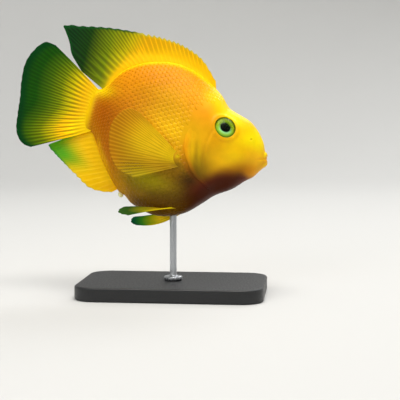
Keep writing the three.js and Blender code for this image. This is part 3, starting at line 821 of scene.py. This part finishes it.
BLACK = paint("010101")
upper_rings = ramp(
    eye_tree, ring_at,
    (0.0, BLACK), (0.46, BLACK), (0.49, paint("45680e")), (0.6, paint("7a9c0c")),
    (0.78, paint("9cb812")), (0.93, paint("74900a")), (1.0, paint("364e05")),
)
lower_rings = ramp(
    eye_tree, ring_at,
    (0.0, BLACK), (0.46, BLACK), (0.49, paint("5ca070")), (0.58, paint("a8ee94")),
    (0.74, paint("a0da48")), (0.9, paint("74aa1c")), (1.0, paint("3c6c0e")),
)
blend_in = mapped(eye_tree, height_in, -0.6, 0.1, interpolation_type="SMOOTHSTEP")
iris = add(
    eye_tree, "ShaderNodeMix", {"Factor": blend_in, "A": lower_rings, "B": upper_rings},
    data_type="RGBA",
).outputs["Result"]
fleck_mask = mapped(eye_tree, noise(eye_tree, eye_place, 1500.0, 1.0), 0.57, 0.63)
fleck_strength = math_node(
    eye_tree, "MULTIPLY", fleck_mask, math_node(eye_tree, "MULTIPLY", blend_in, 0.75),
)
flecked = add(
    eye_tree, "ShaderNodeMix",
    {"Factor": fleck_strength, "A": iris, "B": (*paint("1d3d08"), 1)}, data_type="RGBA",
).outputs["Result"]
# The top of the eye is painted darker towards the brow: painted shade.
brow_shade = mapped(eye_tree, height_in, 0.1, 0.8, 1.0, 0.55)
surface(eye_tree, eye_output, {
    "Base Color": brighter(eye_tree, flecked, brow_shade),
    "Roughness": 0.45,
    "Specular IOR Level": 0.05,
    "Coat Weight": 0.12,
    "Coat Roughness": 0.03,
})
print("eye material with", len(eye_tree.nodes), "nodes")

# %% Eyeballs
PUPIL_SHIFT = Vector((-0.09, -0.26))
BEHIND = 1.2


def eyeball(side_name, side):
    """A flattened ball in its socket, with the ring and height of each point written on it."""
    bm = bmesh.new()
    _, ring_layer, height_layer = new_layers(bm, "ring", "height")
    bmesh.ops.create_uvsphere(bm, u_segments=96, v_segments=64, radius=1)
    base, out, ahead, up = EYE_FRAMES[side]
    for v in bm.verts:
        a, b, c = v.co
        across = Vector((a, b)) * EYE["radius"] / EYE["shows"]
        from_pupil = (across - PUPIL_SHIFT * max(0, 1 - across.length)).length
        v[ring_layer] = from_pupil if c > 0 else BEHIND
        v[height_layer] = across.y
        v.co = base + (ahead * a + up * b) * EYE["radius"] + out * (c * EYE["depth"] - EYE["sunk"])
    to_world(bm)
    bmesh.ops.recalc_face_normals(bm, faces=bm.faces)
    ball = new_piece("eyeball_" + side_name, bm, eye_finish)
    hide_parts("eye_" + side_name)


for side_name, side in SIDES.items():
    eyeball(side_name, side)

# %% [markdown]
# Where the skin meets the eye it rolls into a soft rim. It is a small circle spun into a ring,
# and the ring is then laid on the skin point by point, so that it follows the curve of the head
# all the way round and hides the edge of the socket.

# %% Eye rims
RIM_AT = 7.55
RIM_THICK = 0.85
SPIN_RADIUS = 10


def spun_ring(bm, around, steps):
    """A ring from a small spun circle. Gives each vertex with its turn, reach and height."""
    made = bmesh.ops.create_circle(bm, segments=around, radius=1)
    bmesh.ops.rotate(bm, verts=made["verts"], matrix=Matrix.Rotation(math.pi / 2, 3, "X"))
    bmesh.ops.translate(bm, verts=made["verts"], vec=(SPIN_RADIUS, 0, 0))
    bmesh.ops.spin(
        bm, geom=bm.verts[:] + bm.edges[:], cent=(0, 0, 0), axis=(0, 0, 1),
        angle=math.tau, steps=steps, use_merge=True,
    )
    return [
        (v, math.atan2(v.co.y, v.co.x), math.hypot(v.co.x, v.co.y) - SPIN_RADIUS, v.co.z)
        for v in bm.verts
    ]


def eye_rim(name, side):
    """The roll of skin round one eye."""
    bm = bmesh.new()
    paint_layer, edge_layer = new_layers(bm, "edge")
    base, _, ahead, up = EYE_FRAMES[side]
    for v, turn, reach, rise in spun_ring(bm, 18, 120):
        away = ahead * math.cos(turn) + up * math.sin(turn)
        foot = base + away * RIM_AT
        seat = skin_at(foot.x, foot.z, side)
        normal = normal_at(foot.x, foot.z, side)
        dark = 0.35 + 0.5 * max(0, math.cos(turn - math.pi / 4))
        tint = body_paint(seat).lerp(FOREST, dark * soft(-0.2, -0.85, reach))
        v[paint_layer] = (*tint, 1)
        v[edge_layer] = 0.5
        v.co = seat + away * reach * RIM_THICK + normal * (0.05 + rise * RIM_THICK * 0.75)
    flesh_piece(name, bm)


for side_name, side in SIDES.items():
    eye_rim("eye_rim_" + side_name, side)

# %% [markdown]
# The small mouth is shut to a beak: two thick lips at the tip of the snout, a little paler than the
# skin they grow from and painted lighter still along their tops, a painted highlight. Each lip is a
# ball drawn out along a horseshoe path round the snout, with its poles at the corners of the mouth,
# so its ends taper without a seam.

# %% Lips
LIP_CORNER = 113.0
LIP_TURN = 1.5
CORNER_HEIGHT = -3.0


def snout_reach(turn, z):
    """How far the skin is from the middle of the mouth, at a height and a turn from ahead."""
    near, far = 0.0, SNOUT - LIP_CORNER if math.cos(turn) >= 0.5 else 14.0
    for _ in range(20):
        reach = (near + far) / 2
        x, y = LIP_CORNER + reach * math.cos(turn), abs(reach * math.sin(turn))
        inside = x < SNOUT - 0.01 and y < abs(skin_at(x, z, 1).y)
        near, far = (reach, far) if inside else (near, reach)
    return near


def lip(name, middle_height, radius, shown):
    """One lip: its height at the front, its thickness, and how much of it stands out."""
    bm = bmesh.new()
    paint_layer, edge_layer = new_layers(bm, "edge")
    heights = through((0, middle_height), (0.7, middle_height - 0.7), (LIP_TURN, CORNER_HEIGHT))

    def path(turn):
        z = heights(abs(turn))
        reach = snout_reach(turn, z) - radius + shown * math.cos(turn)
        return Vector((LIP_CORNER + reach * math.cos(turn), reach * math.sin(turn), z))

    for v, ring, angle in mapped_ball(bm, 40, 90):
        turn = (2 * ring - 1) * LIP_TURN
        along = (path(turn + 0.02) - path(turn - 0.02)).normalized()
        away = along.cross(Vector((0, 0, 1))).normalized()
        up = away.cross(along)
        taper = math.sqrt(max(0, 1 - (2 * ring - 1) ** 4))
        size = radius * taper * (0.76 + 0.24 * math.cos(turn))
        v.co = path(turn) + (away * math.sin(angle) + up * math.cos(angle)) * size
        # Paler all over, and painted lighter towards the top of the lip: a painted highlight.
        lit = 0.2 + 0.4 * max(0, math.cos(angle))
        v[paint_layer] = (*body_paint(path(turn)).lerp(LEMON, lit), 1)
        v[edge_layer] = 0.5
    flesh_piece(name, bm)


lip("lip_upper", middle_height=1.9, radius=2.5, shown=0.62)
lip("lip_lower", middle_height=-3.0, radius=2.9, shown=0.3)

# %% [markdown]
# Scales grow in slanting rows, each one rooted under the ones ahead of it and free at its rear
# edge. We build them as many tiny closed plates joined into one mesh for each side. A scale
# starts as a small grid, rounded off, and is bent to the skin. Then all are thickened at once:
# the root sinks a little and the rear rim stands just proud, so that light finds the rows
# without the fish looking armoured. Each point wears the paint of the skin below it, and the
# narrow faces round a scale are shaded flat, which keeps the rims crisp.

# %% Where the scales grow
SCALE_STEP = 2.5
SCALE_ROW = 3.4
SCALES_START = 3.0
SCALES_END = 90.0
HIGHEST_ANGLE = 0.2
LOWEST_ANGLE = math.pi - 0.08
GIRTH_STEPS = 48
MOST_ROWS = 20


def scale_size(x):
    """Scales are smaller on the tail stem and again on the nape."""
    return 0.62 + 0.38 * soft(-2, 30, x) - 0.25 * soft(66, 88, x)


def girth(x, side):
    """Arc lengths along the skin from its widest level, up to the back and down to the keel."""
    table = []
    for towards in (0.0, math.pi):
        places = [(math.pi / 2, 0.0)]
        last = skin(x, side * math.pi / 2)
        for i in range(1, GIRTH_STEPS + 1):
            angle = math.pi / 2 + (towards - math.pi / 2) * i / GIRTH_STEPS
            here = skin(x, side * angle)
            places.append((angle, places[-1][1] + (here - last).length))
            last = here
        table.append(places)
    return table


def angle_at(table, arc):
    """The angle at an arc length: positive up towards the back, negative down to the keel."""
    places = table[0] if arc > 0 else table[1]
    for (a, low), (b, high) in zip(places, places[1:]):
        if high >= abs(arc):
            return a + (b - a) * (abs(arc) - low) / (high - low)
    return places[-1][0]


def scale_seats(side):
    """Where each scale of one side grows: x, arc, share of full size and girth."""
    seats = []
    x, shift = SCALES_START, 0
    while x < SCALES_END:
        size = scale_size(x)
        table = girth(x, side)
        for row in range(-MOST_ROWS, MOST_ROWS + 1):
            arc = (row + shift) * SCALE_ROW * size
            angle = angle_at(table, arc)
            z = skin(x, side * angle).z
            on_head = z < 24 and x > gill_edge(z) - 1.0
            on_brow = x > 86 or (x > 80 and z < 27)
            bare = on_head or on_brow or stroke(x, z, *PAD) > 0.5
            if HIGHEST_ANGLE < angle < LOWEST_ANGLE and not bare:
                seats.append((x, arc, size, table))
        x += SCALE_STEP * size
        shift = 0.5 - shift
    return seats


# %% Scales
SCALE_HALF_LENGTH = 2.75
SCALE_HALF_HEIGHT = 2.05
SCALE_THICK = 0.09
SCALE_SINK = 0.12
SCALE_LIFT = 0.07
SCALE_CROWN = 0.03
SCALE_GRID = 4
TONES = (0.96, 1.04)
SEEDS = {1: 7, -1: 8}
SCALE_MAP = 0.003
MAP_ARC = 140.0
MAP_MARGIN = 0.02


def lay_map(bm, seats, seat_layer, s_layer, t_layer):
    """Lays each scale as a small patch of the map, at its root's place on an unwrapped flank."""
    uv_layer = bm.loops.layers.uv["OFBake"]
    for face in bm.faces:
        for loop in face.loops:
            x, arc, _, _ = seats[loop.vert[seat_layer]]
            u = MAP_MARGIN + (1 - 2 * MAP_MARGIN) * (x - TAIL_END) / (SNOUT - TAIL_END)
            v = 0.5 + arc / MAP_ARC
            loop[uv_layer].uv = (
                u + SCALE_MAP / 2 * loop.vert[s_layer],
                v + SCALE_MAP / 2 * loop.vert[t_layer],
            )


def scale_coat(name, side):
    """All the scales of one side, joined: s runs along a scale to its free rim, t across it."""
    rng = random.Random(SEEDS[side])
    bm = bmesh.new()
    paint_layer, edge_layer, s_layer, t_layer = new_layers(bm, "edge", "s", "t")
    seat_layer = bm.verts.layers.int.new("seat")
    bm.loops.layers.uv.new("OFBake")
    seats = scale_seats(side)
    print(name, "has", len(seats), "scales")
    for number, (x, arc, size, table) in enumerate(seats):
        tone = rng.uniform(*TONES)
        made = bmesh.ops.create_grid(bm, x_segments=SCALE_GRID, y_segments=SCALE_GRID, size=1)
        for vert in made["verts"]:
            a, b = vert.co.x, vert.co.y
            s, t = a * math.sqrt(1 - b * b / 2), b * math.sqrt(1 - a * a / 2)
            vert[seat_layer], vert[s_layer], vert[t_layer] = number, s, t
            vert[edge_layer] = soft(0.72, 0.98, math.hypot(s, t)) * soft(-0.1, 0.4, s)
            angle = angle_at(table, arc + t * SCALE_HALF_HEIGHT * size)
            vert.co = skin(x - s * SCALE_HALF_LENGTH * size, side * angle)
            vert[paint_layer] = (*body_paint(vert.co) * tone, 1)

    def faces_at(vert):
        size = seats[vert[seat_layer]][2]
        rise = (SCALE_LIFT + SCALE_SINK) * soft(-0.9, 1, vert[s_layer]) - SCALE_SINK
        crown = SCALE_CROWN * (1 - vert[t_layer] ** 2)
        out = (rise + crown) * size + relief(vert.co)
        return out, out - SCALE_THICK

    thicken(bm, Vector((0, side, 0)), faces_at)
    lay_map(bm, seats, seat_layer, s_layer, t_layer)
    # A face of the narrow rim joins two points of the sheet to their own mates.
    mate = bm.verts.layers.int["mate"]
    rims = [len({vert[mate] for vert in face.verts}) < 3 for face in bm.faces]
    to_world(bm)
    coat = new_piece(name, bm, scale_finish)
    sharp = coat.data.attributes.new("sharp_face", "BOOLEAN", "FACE")
    sharp.data.foreach_set("value", rims)


for side_name, side in SIDES.items():
    scale_coat("scales_" + side_name, side)

# %% [markdown]
# A fin is a thin web stretched over rays. In front the rays are stiff spines, each one whole to
# its tip. Behind them come soft rays, jointed like bamboo, which fork on their way to the
# margin. We draw the middle surface of each fin as a grid, many columns to a ray, and thicken
# it: thick and fleshy at the root, thin in the web, and with every ray raised on both faces.

# %% Rays and webs
ROOT_SUNK = 3.0
WEB = 0.34
RAY_HEIGHT = 0.24
LEAST_COLUMNS, MOST_COLUMNS, FIN_ROWS = 16, 320, 48


def outline(*knots):
    """A fin's margin through a few knots: the share of the way along it, x and z."""
    x_at = through(*[(u, x) for u, x, _ in knots])
    z_at = through(*[(u, z) for u, _, z in knots])
    return lambda u: Vector((x_at(u), 0, z_at(u)))


def ray_at(u, v, rays, spines):
    """How near a place is to the crest of a ray, from 0 in the web to 1 on the crest."""
    at = u * (rays - 1)
    off = at - round(at)
    if round(at) < spines:
        return hump(off, 0.19 - 0.08 * v)
    forked = soft(0.12, 0.6, v)
    return hump(abs(off) - 0.25 * forked, 0.22 - 0.1 * forked)


def fin_blade(name, place, tint, finish, rays, spines, notch, root, ray_height=RAY_HEIGHT):
    """One fin: its middle surface and colours, its rays, margin notches and root thickness."""
    bm = bmesh.new()
    paint_layer, ray_layer, u_layer, v_layer = new_layers(bm, "ray", "u", "v")

    def trimmed(u, v):
        at = u * (rays - 1)
        between = math.sin(math.pi * at) ** 2
        short = notch if at < spines - 1 else notch * 0.3
        return place(u, v * (1 - short * between * v ** 4))

    columns = max(LEAST_COLUMNS, MOST_COLUMNS // rays)
    grid_sheet(bm, columns * (rays - 1), FIN_ROWS, trimmed)
    for vert in bm.verts:
        u, v = vert[u_layer], vert[v_layer]
        vert[ray_layer] = ray_at(u, v, rays, spines)
        vert[paint_layer] = (*tint(u, v, vert[ray_layer]), 1)

    def faces_at(vert):
        v = vert[v_layer]
        flesh = WEB + (root - WEB) * (1 - soft(0, 0.42, v))
        relief_here = ray_height * vert[ray_layer] * (1 - 0.7 * v) * soft(0, 0.16, v)
        half = flesh / 2 * (1 - 0.35 * v ** 3) + relief_here
        return half, -half

    thicken(bm, Vector((0, 1, 0)), faces_at)
    uv_layer = bm.loops.layers.uv.new("UVMap")
    u_layer, v_layer = bm.verts.layers.float["u"], bm.verts.layers.float["v"]
    for face in bm.faces:
        for loop in face.loops:
            loop[uv_layer].uv = (loop.vert[u_layer], loop.vert[v_layer])
    to_world(bm)
    return new_piece(name, bm, finish)


# %% Fin materials
RAY_JOINTS = 260.0
FIN_LOOK = {"Mottle": 0.18, "Mottle Scale": 160.0, "Grain": 0.5, "Roughness": 0.44}


def fin_material(name, clear):
    """A wet web over jointed rays; clear is how much of the light a bare web lets through."""
    material, tree, output = new_material(name)
    ray = attribute(tree, "ray")
    along = add(
        tree, "ShaderNodeSeparateXYZ",
        {"Vector": add(tree, "ShaderNodeUVMap", uv_map="UVMap").outputs["UV"]},
    ).outputs["Y"]
    wave = math_node(tree, "SINE", math_node(tree, "MULTIPLY", along, RAY_JOINTS))
    joints = math_node(tree, "MULTIPLY", math_node(tree, "MULTIPLY", wave, ray), 0.5)
    group = add(
        tree, "ShaderNodeGroup", {"Colour": attribute(tree, "paint", "Color"), **FIN_LOOK},
        node_tree=living,
    )
    height = math_node(tree, "ADD", joints, group.outputs["Height"])
    shader = surface(tree, output, {
        "Base Color": group.outputs["Colour"],
        "Roughness": group.outputs["Roughness"],
        "Normal": bumped(tree, height, distance=0.00008, strength=0.5),
        "Specular IOR Level": 0.08,
        "Coat Weight": WET_COAT,
        "Coat Roughness": 0.2,
    })
    if clear > 0:
        past_root = mapped(tree, along, 0.02, 0.3)
        bare = math_node(tree, "SUBTRACT", 1.0, math_node(tree, "MULTIPLY", ray, 0.6))
        gone = math_node(tree, "MULTIPLY", math_node(tree, "MULTIPLY", past_root, bare), clear)
        tree.links.new(math_node(tree, "SUBTRACT", 1.0, gone), shader.inputs["Alpha"])
    return material


fin_finish = fin_material("fin", clear=0)
fan_finish = fin_material("clear_fin", clear=0.4)
print("materials", fin_finish.name, fan_finish.name)

# %% [markdown]
# The dorsal fin runs the whole length of the back. Its sixteen spines lean back under a golden
# web with a notched, paler margin; the soft rays behind them turn olive and then deep green, and
# sweep out to a point high over the tail. Colours are given by place on the fin: u from front to
# rear and v from root to margin.

# %% Dorsal fin
WEB_GOLD = paint("f0b400")
ROOT_GOLD = paint("ffc800")
WEB_SHADE = paint("b98a00")
MARGIN_LIME = paint("c8c040")
OLIVE_WEB = paint("6e7e00")
DEEP_GREEN = paint("143a00")
REAR_GREEN = paint("06340a")
TEAL_MARGIN = paint("044b14")
DORSAL_BEND = 0.0022

dorsal_root_x = through((0, 76.5), (0.56, 32), (1, 4.8))
dorsal_edge = outline(
    (0, 73.5, 40.6), (0.1, 61.5, 51.8), (0.25, 47, 57.5), (0.4, 34, 59), (0.56, 18, 58.4),
    (0.7, -3, 56.5), (0.82, -22, 53), (0.89, -34.2, 50.4), (0.93, -29.3, 43.6),
    (0.965, -23, 32.8), (1, -13.5, 23.8),
)


def dorsal_place(u, v):
    """The dorsal fin's middle surface, bent a little to the left over the tail."""
    x = dorsal_root_x(u)
    p = Vector((x, 0, back(x) - ROOT_SUNK)).lerp(dorsal_edge(u), v)
    p.y = DORSAL_BEND * max(0, 10 - p.x) ** 2 + 0.35 * math.sin(21 * u) * v * v
    return p


def rayed(colour, ray, contrast):
    """A web's colour made darker between the rays and lighter on them."""
    return colour * (1 + contrast * (ray - 0.42))


def dorsal_tint(u, v, ray):
    """Golden spines in front, shading through olive to deep green over the soft rays."""
    p = dorsal_place(u, v)
    height = p.z - back(p.x)
    along = p.x - 0.3 * (p.z - 40) * soft(0, 8, p.x)
    web = shade(
        along, (-25, REAR_GREEN), (-14, DEEP_GREEN), (0, OLIVE_WEB), (9.5, OLIVE_GOLD),
        (19, WEB_GOLD),
    )
    golden = soft(6, 14, along)
    colour = web.lerp(ROOT_GOLD, golden * (1 - soft(2, 13, height)))
    colour = rayed(colour, ray, soft(2, 10, height) * (0.75 - 0.4 * golden))
    margin = soft(0.91, 0.98, v)
    return colour.lerp(TEAL_MARGIN.lerp(MARGIN_LIME, golden), 0.9 * margin)


dorsal = fin_blade(
    "dorsal_blade", dorsal_place, dorsal_tint, fin_finish, rays=28, spines=16, notch=0.06, root=2.6,
)
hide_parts("dorsal_fin")

# %% [markdown]
# The tail fin is a broad fan. Seventeen main rays leave a golden root, and outwards the fin turns
# olive and then dark green, darker still between the rays, so that it looks pleated. The lower
# lobe stays golden longest, and the darkest green follows the whole margin.

# %% Tail fin
TAIL_GOLD = paint("fabe00")
TAIL_GREEN = paint("426400")
TAIL_OUTER = paint("154a02")
TAIL_MARGIN = paint("003d10")
TAIL_SWEEP = 0.0034

tail_edge = outline(
    (0, -34, 35.5), (0.06, -40.6, 35.6), (0.15, -45.8, 28.6), (0.28, -48.9, 18), (0.42, -48.3, 6),
    (0.55, -46.2, -4), (0.7, -45, -14.5), (0.82, -43.7, -23), (0.91, -40.8, -29),
    (0.97, -36, -32.8), (1, -31.3, -33.2),
)
tail_bow = through((0, 0.4), (0.3, 0), (0.8, -0.3), (1, 0))


def tail_place(u, v):
    """The tail fin's middle surface, swept to the right."""
    root = Vector((1.5 + 2.5 * u, 0, 14.6 - 27 * u))
    p = root.lerp(tail_edge(u), v)
    p.z += tail_bow(u) * 4 * v * (1 - v)
    p.y = -TAIL_SWEEP * max(0, -p.x) ** 2 + 0.5 * math.sin(17 * u + 1) * v * v
    return p


def tail_tint(u, v, ray):
    """Gold at the root, then olive and green, later in the lower lobe, darkest at the margin."""
    out = v - 0.22 * soft(0.5, 0.9, u)
    colour = shade(
        out, (0.05, BRIGHT), (0.18, TAIL_GOLD), (0.35, OLIVE_GOLD), (0.49, OLIVE_WEB),
        (0.64, TAIL_GREEN), (0.8, TAIL_OUTER),
    )
    contrast = soft(0.1, 0.32, v) * (1 - 0.55 * soft(0.5, 0.8, out))
    return rayed(colour, ray, contrast).lerp(TAIL_MARGIN, soft(0.87, 0.97, v))


tail = fin_blade(
    "tail_blade", tail_place, tail_tint, fin_finish, rays=17, spines=0, notch=0.012, root=3.0,
)
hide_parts("tail_fin")

# %% [markdown]
# The anal fin mirrors the rear of the dorsal fin under the tail stem: seven short spines along
# a notched front margin, then soft rays that run out to a bright green tip.

# %% Anal fin
ANAL_GOLD = paint("ffca00")
ANAL_LIGHT = paint("ffd430")
ANAL_LIME = paint("a8b404")
ANAL_TIP = paint("5cae1c")
ANAL_EDGE = paint("2f8a3a")
ANAL_BEND = 0.0055

anal_root_x = through((0, 31.6), (1, 4.5))
anal_edge = outline(
    (0, 27.5, -47.4), (0.067, 22.5, -48.6), (0.133, 16.5, -49), (0.2, 11, -48.2),
    (0.3, 4.6, -44.8), (0.45, -3.8, -40), (0.6, -11, -36), (0.74, -16.6, -32.8),
    (0.87, -22.6, -28.4), (0.94, -18, -25), (1, -11.5, -20.5),
)


def anal_place(u, v):
    """The anal fin's middle surface, bent to the left, clear of the tail fin."""
    x = anal_root_x(u)
    root = Vector((x + 1.5, 0, belly(x) + ROOT_SUNK))
    p = root.lerp(anal_edge(u), v)
    p.y = ANAL_BEND * max(0, 12 - p.x) ** 2 + 0.3 * math.sin(15 * u) * v * v
    return p


def anal_tint(u, v, ray):
    """Golden, with fine light rays and a green tip."""
    gold = AMBER.lerp(ANAL_GOLD, soft(0.02, 0.14, v)).lerp(WEB_SHADE, 0.15 * (1 - ray))
    gold = gold.lerp(ANAL_LIGHT, 0.35 * ray * soft(0.2, 0.5, v))
    gold = gold.lerp(ORANGE, 0.3 * (1 - soft(0.05, 0.25, u)) * (1 - soft(0.6, 0.9, v)))
    tip = soft(0.3, 0.6, u) * soft(0.3, 0.7, v)
    colour = gold.lerp(ANAL_LIME.lerp(ANAL_LIGHT, 0.15 * ray), tip)
    colour = colour.lerp(ANAL_TIP, tip * soft(0.5, 0.85, v) * soft(0.45, 0.7, u))
    edge = soft(0.93, 0.99, v)
    colour = colour.lerp(MARGIN_LIME, 0.6 * edge * (1 - soft(0.3, 0.5, u)))
    return colour.lerp(ANAL_EDGE, 0.7 * edge * soft(0.4, 0.6, u))


anal = fin_blade(
    "anal_blade", anal_place, anal_tint, fin_finish, rays=16, spines=7, notch=0.035, root=2.2,
    ray_height=0.16,
)
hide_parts("anal_fin")

# %% [markdown]
# The breast fins work the fish's turns. They are clear, rounded fans held along the flank, so
# they take the colour of what is behind them, with the rays as fine light lines. Some light goes
# through the web too. Each grows from the low swelling that the skin has behind the gill cover.

# %% Breast fins
# Painted light for the breast fins' web.
FAN_PAINTED_LIGHT = paint("ffdc10")
FAN_RAY = paint("ffd030")

breast_edge = outline(
    (0, 36, 5), (0.15, 28, 6), (0.3, 22.3, 1.2), (0.45, 19.5, -7), (0.6, 20.8, -16.8),
    (0.75, 24.8, -26.5), (0.88, 32, -33), (1, 43, -35.3),
)


def breast_fin(side_name, side, flare):
    """One breast fin, in the flank's own colours with light rays."""
    def place(u, v):
        root = Vector((66.2 + 2.2 * u, 0, -13.6 - 7 * u))
        p = root.lerp(breast_edge(u), v)
        camber = 1.6 * math.sin(math.pi * u) * v
        wave = 0.3 * math.sin(16 * u) * v * v
        p.y = side * (21 + 2.6 * min(1, v * 5) + flare * v * v - camber + wave)
        return p

    def tint(u, v, ray):
        # The web is painted lighter near its root and over its upper half: painted light.
        light = (0.62 - 0.52 * soft(0.5, 0.9, v)) * (1 - 0.85 * soft(0.5, 0.85, u))
        web = body_paint(place(u, v)).lerp(FAN_PAINTED_LIGHT, light)
        return web.lerp(FAN_RAY, 0.2 * ray * soft(0.1, 0.35, v))

    fan = fin_blade(
        "breast_fan_" + side_name, place, tint, fan_finish, rays=14, spines=0, notch=0.02,
        root=1.3, ray_height=0.1,
    )
    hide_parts("breast_fin_" + side_name)


breast_fin("left", 1, flare=9)
breast_fin("right", -1, flare=3.5)

# %% [markdown]
# The belly fins trail from under the chest, folded nearly flat. The left one hangs lower, and
# in the photo its yellow web and teal tip show below the belly.

# %% Belly fins
KEEL_BROWN = paint("8a5004")
KEEL_GOLD = paint("dcb40c")
KEEL_OLIVE = paint("9c9a08")
KEEL_GREEN = paint("2c5c06")
FAR_BROWN = paint("b07408")
FAR_YELLOW = paint("ffdc14")
FAR_LIME = paint("94b008")
FAR_GREEN = paint("3c9420")
FAR_TEAL = paint("045c38")

BELLY_SPREAD = 7
BELLY_FINS = {
    "left": {
        "side": 1, "out": 4, "bow": 4.6,
        "edge": outline(
            (0, 47.2, -63.7), (0.3, 44.5, -63.2), (0.5, 43.7, -61.8), (0.8, 45, -59.2),
            (1, 50.5, -57.2),
        ),
        "stops": [
            (0.12, FAR_BROWN), (0.46, FAR_YELLOW), (0.67, FAR_LIME), (0.8, FAR_GREEN),
            (0.95, FAR_TEAL),
        ],
    },
    "right": {
        "side": -1, "out": 10, "bow": -0.8,
        "edge": outline(
            (0, 44.2, -59), (0.3, 38.5, -59.2), (0.5, 36.9, -57.9), (0.8, 39.4, -54.6),
            (1, 45.2, -52.5),
        ),
        "stops": [(0.12, KEEL_BROWN), (0.4, KEEL_GOLD), (0.66, KEEL_OLIVE), (0.86, KEEL_GREEN)],
    },
}


def belly_fin(side_name, side, out, bow, edge, stops):
    """One belly fin: a single spine in front and five soft rays."""
    def place(u, v):
        root = Vector((79 - 6 * u, side * (7 - 1.6 * u), -43 - 4 * u))
        tip = edge(u)
        tip.y = side * (out + BELLY_SPREAD * (1 - u))
        p = root.lerp(tip, v)
        bulge = math.sin(math.pi * v)
        p.y += side * 2 * bulge
        p.z -= bow * (1 - u) * bulge
        return p

    def tint(u, v, ray):
        colour = rayed(shade(v, *stops), ray, 0.35)
        spine = (1 - soft(0.04, 0.22, u)) * soft(0.1, 0.3, v) * (1 - soft(0.6, 0.85, v))
        return colour.lerp(LEMON, 0.6 * spine)

    trail = fin_blade(
        "belly_blade_" + side_name, place, tint, fin_finish, rays=6, spines=1, notch=0.04, root=1.6,
    )
    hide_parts("belly_fin_" + side_name)


for side_name, shape in BELLY_FINS.items():
    belly_fin(side_name, **shape)

# %% [markdown]
# Just in front of the anal fin the vent ends in a small white papilla, which shows against the
# dark ground of the photo. It is one small ball, drawn out and tilted back.

# %% Vent papilla
VENT_X = 33.7
VENT_DROP = 1.0
VENT_TILT = math.radians(-50)
VENT_RADII = (1.6, 1.6, 1.9)


def vent_papilla():
    """A small pale cone of flesh under the belly."""
    bm = bmesh.new()
    paint_layer, edge_layer = new_layers(bm, "edge")
    bmesh.ops.create_uvsphere(bm, u_segments=32, v_segments=24, radius=1)
    bmesh.ops.scale(bm, vec=VENT_RADII, verts=bm.verts)
    bmesh.ops.rotate(bm, matrix=Matrix.Rotation(VENT_TILT, 3, "Y"), verts=bm.verts)
    for v in bm.verts:
        v.co += Vector((VENT_X, 0, belly(VENT_X) - VENT_DROP))
        v[paint_layer] = (*PALE, 1)
        v[edge_layer] = 0.5
    flesh_piece("vent_papilla", bm)


vent_papilla()

# %% [markdown]
# A museum stand should be plain and quiet. The base is a block whose upright corners are rounded
# first and whose rims are then softened. The flat faces stay flat in the shading, and only the
# narrow rounded ones are smooth. It is sprayed satin black, which shows a fine even grain.

# %% Stand base
BASE_SIZE = (0.120, 0.076, 0.009)
BASE_CORNER = 0.014
BASE_BEVEL = 0.0012
LEAST_FLAT_AREA = 1e-4


def stand_material(name, colour, roughness, metallic, stretch, depth):
    """A hard finish with a fine grain, which a Mapping node may stretch into brushing."""
    material, tree, output = new_material(name)
    spot = add(tree, "ShaderNodeTexCoord").outputs["Object"]
    drawn = add(tree, "ShaderNodeMapping", {"Vector": spot, "Scale": stretch}).outputs["Vector"]
    grain = noise(tree, drawn, 900.0, 3.0)
    surface(tree, output, {
        "Base Color": (*colour, 1),
        "Roughness": mapped(tree, grain, 0.3, 0.7, roughness - 0.08, roughness + 0.08),
        "Normal": bumped(tree, grain, distance=depth, strength=0.4),
        "Metallic": metallic,
    })
    return material


black_finish = stand_material("satin_black", paint("17181a"), 0.46, 0.0, (1, 1, 1), 0.00004)
steel_finish = stand_material("brushed_steel", paint("b9bcc0"), 0.3, 1.0, (1, 1, 0.03), 0.00003)

block = bmesh.new()
bmesh.ops.create_cube(block, size=1)
bmesh.ops.scale(block, vec=BASE_SIZE, verts=block.verts)
bmesh.ops.translate(block, vec=(0, 0, BASE_SIZE[2] / 2), verts=block.verts)
upright = [e for e in block.edges if abs(e.verts[0].co.z - e.verts[1].co.z) > BASE_SIZE[2] / 2]
bmesh.ops.bevel(
    block, geom=upright, offset=BASE_CORNER, affect="EDGES", segments=16, profile=0.5,
    material=-1,
)
rims = [e for e in block.edges if abs(e.verts[0].co.z - e.verts[1].co.z) < 1e-6]
bmesh.ops.bevel(
    block, geom=rims, offset=BASE_BEVEL, affect="EDGES", segments=5, profile=0.5, material=-1,
)
bmesh.ops.recalc_face_normals(block, faces=block.faces)
flats = [f.index for f in block.faces if f.calc_area() > LEAST_FLAT_AREA]
stand_base = new_piece("display_base", block, black_finish)
for index in flats:
    stand_base.data.polygons[index].use_smooth = False
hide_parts("stand_base")

# %% [markdown]
# One steel rod carries the fish. Half of its outline, with the small collar at its foot, is
# spun round the middle. Its top ends just inside the belly. The brushing runs along the rod.

# %% Stand rod
ROD_EDGE = 0.00012
# Radius and height of each corner, in millimetres.
ROD_PROFILE = [
    (0, 9.3), (5.6, 9.3), (6, 9.6), (6, 11.1), (5.7, 11.6), (5.1, 11.8), (3.2, 11.8),
    (2.7, 12), (2.35, 12.5), (2.2, 13.3), (2.2, 52.4), (0, 52.4),
]

rod = bmesh.new()
rod_points = [rod.verts.new((radius * MM, 0, height * MM)) for radius, height in ROD_PROFILE]
for pair in zip(rod_points, rod_points[1:]):
    rod.edges.new(pair)
bmesh.ops.bevel(
    rod, geom=rod_points[1:-1], offset=ROD_EDGE, affect="VERTICES", segments=2, profile=0.5,
    material=-1,
)
bmesh.ops.spin(
    rod, geom=rod.verts[:] + rod.edges[:], cent=(0, 0, 0), axis=(0, 0, 1), angle=math.tau,
    steps=48, use_merge=True,
)
bmesh.ops.remove_doubles(rod, verts=rod.verts, dist=1e-6)
bmesh.ops.recalc_face_normals(rod, faces=rod.faces)
stand_rod = new_piece("display_rod", rod, steel_finish)
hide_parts("stand_rod")
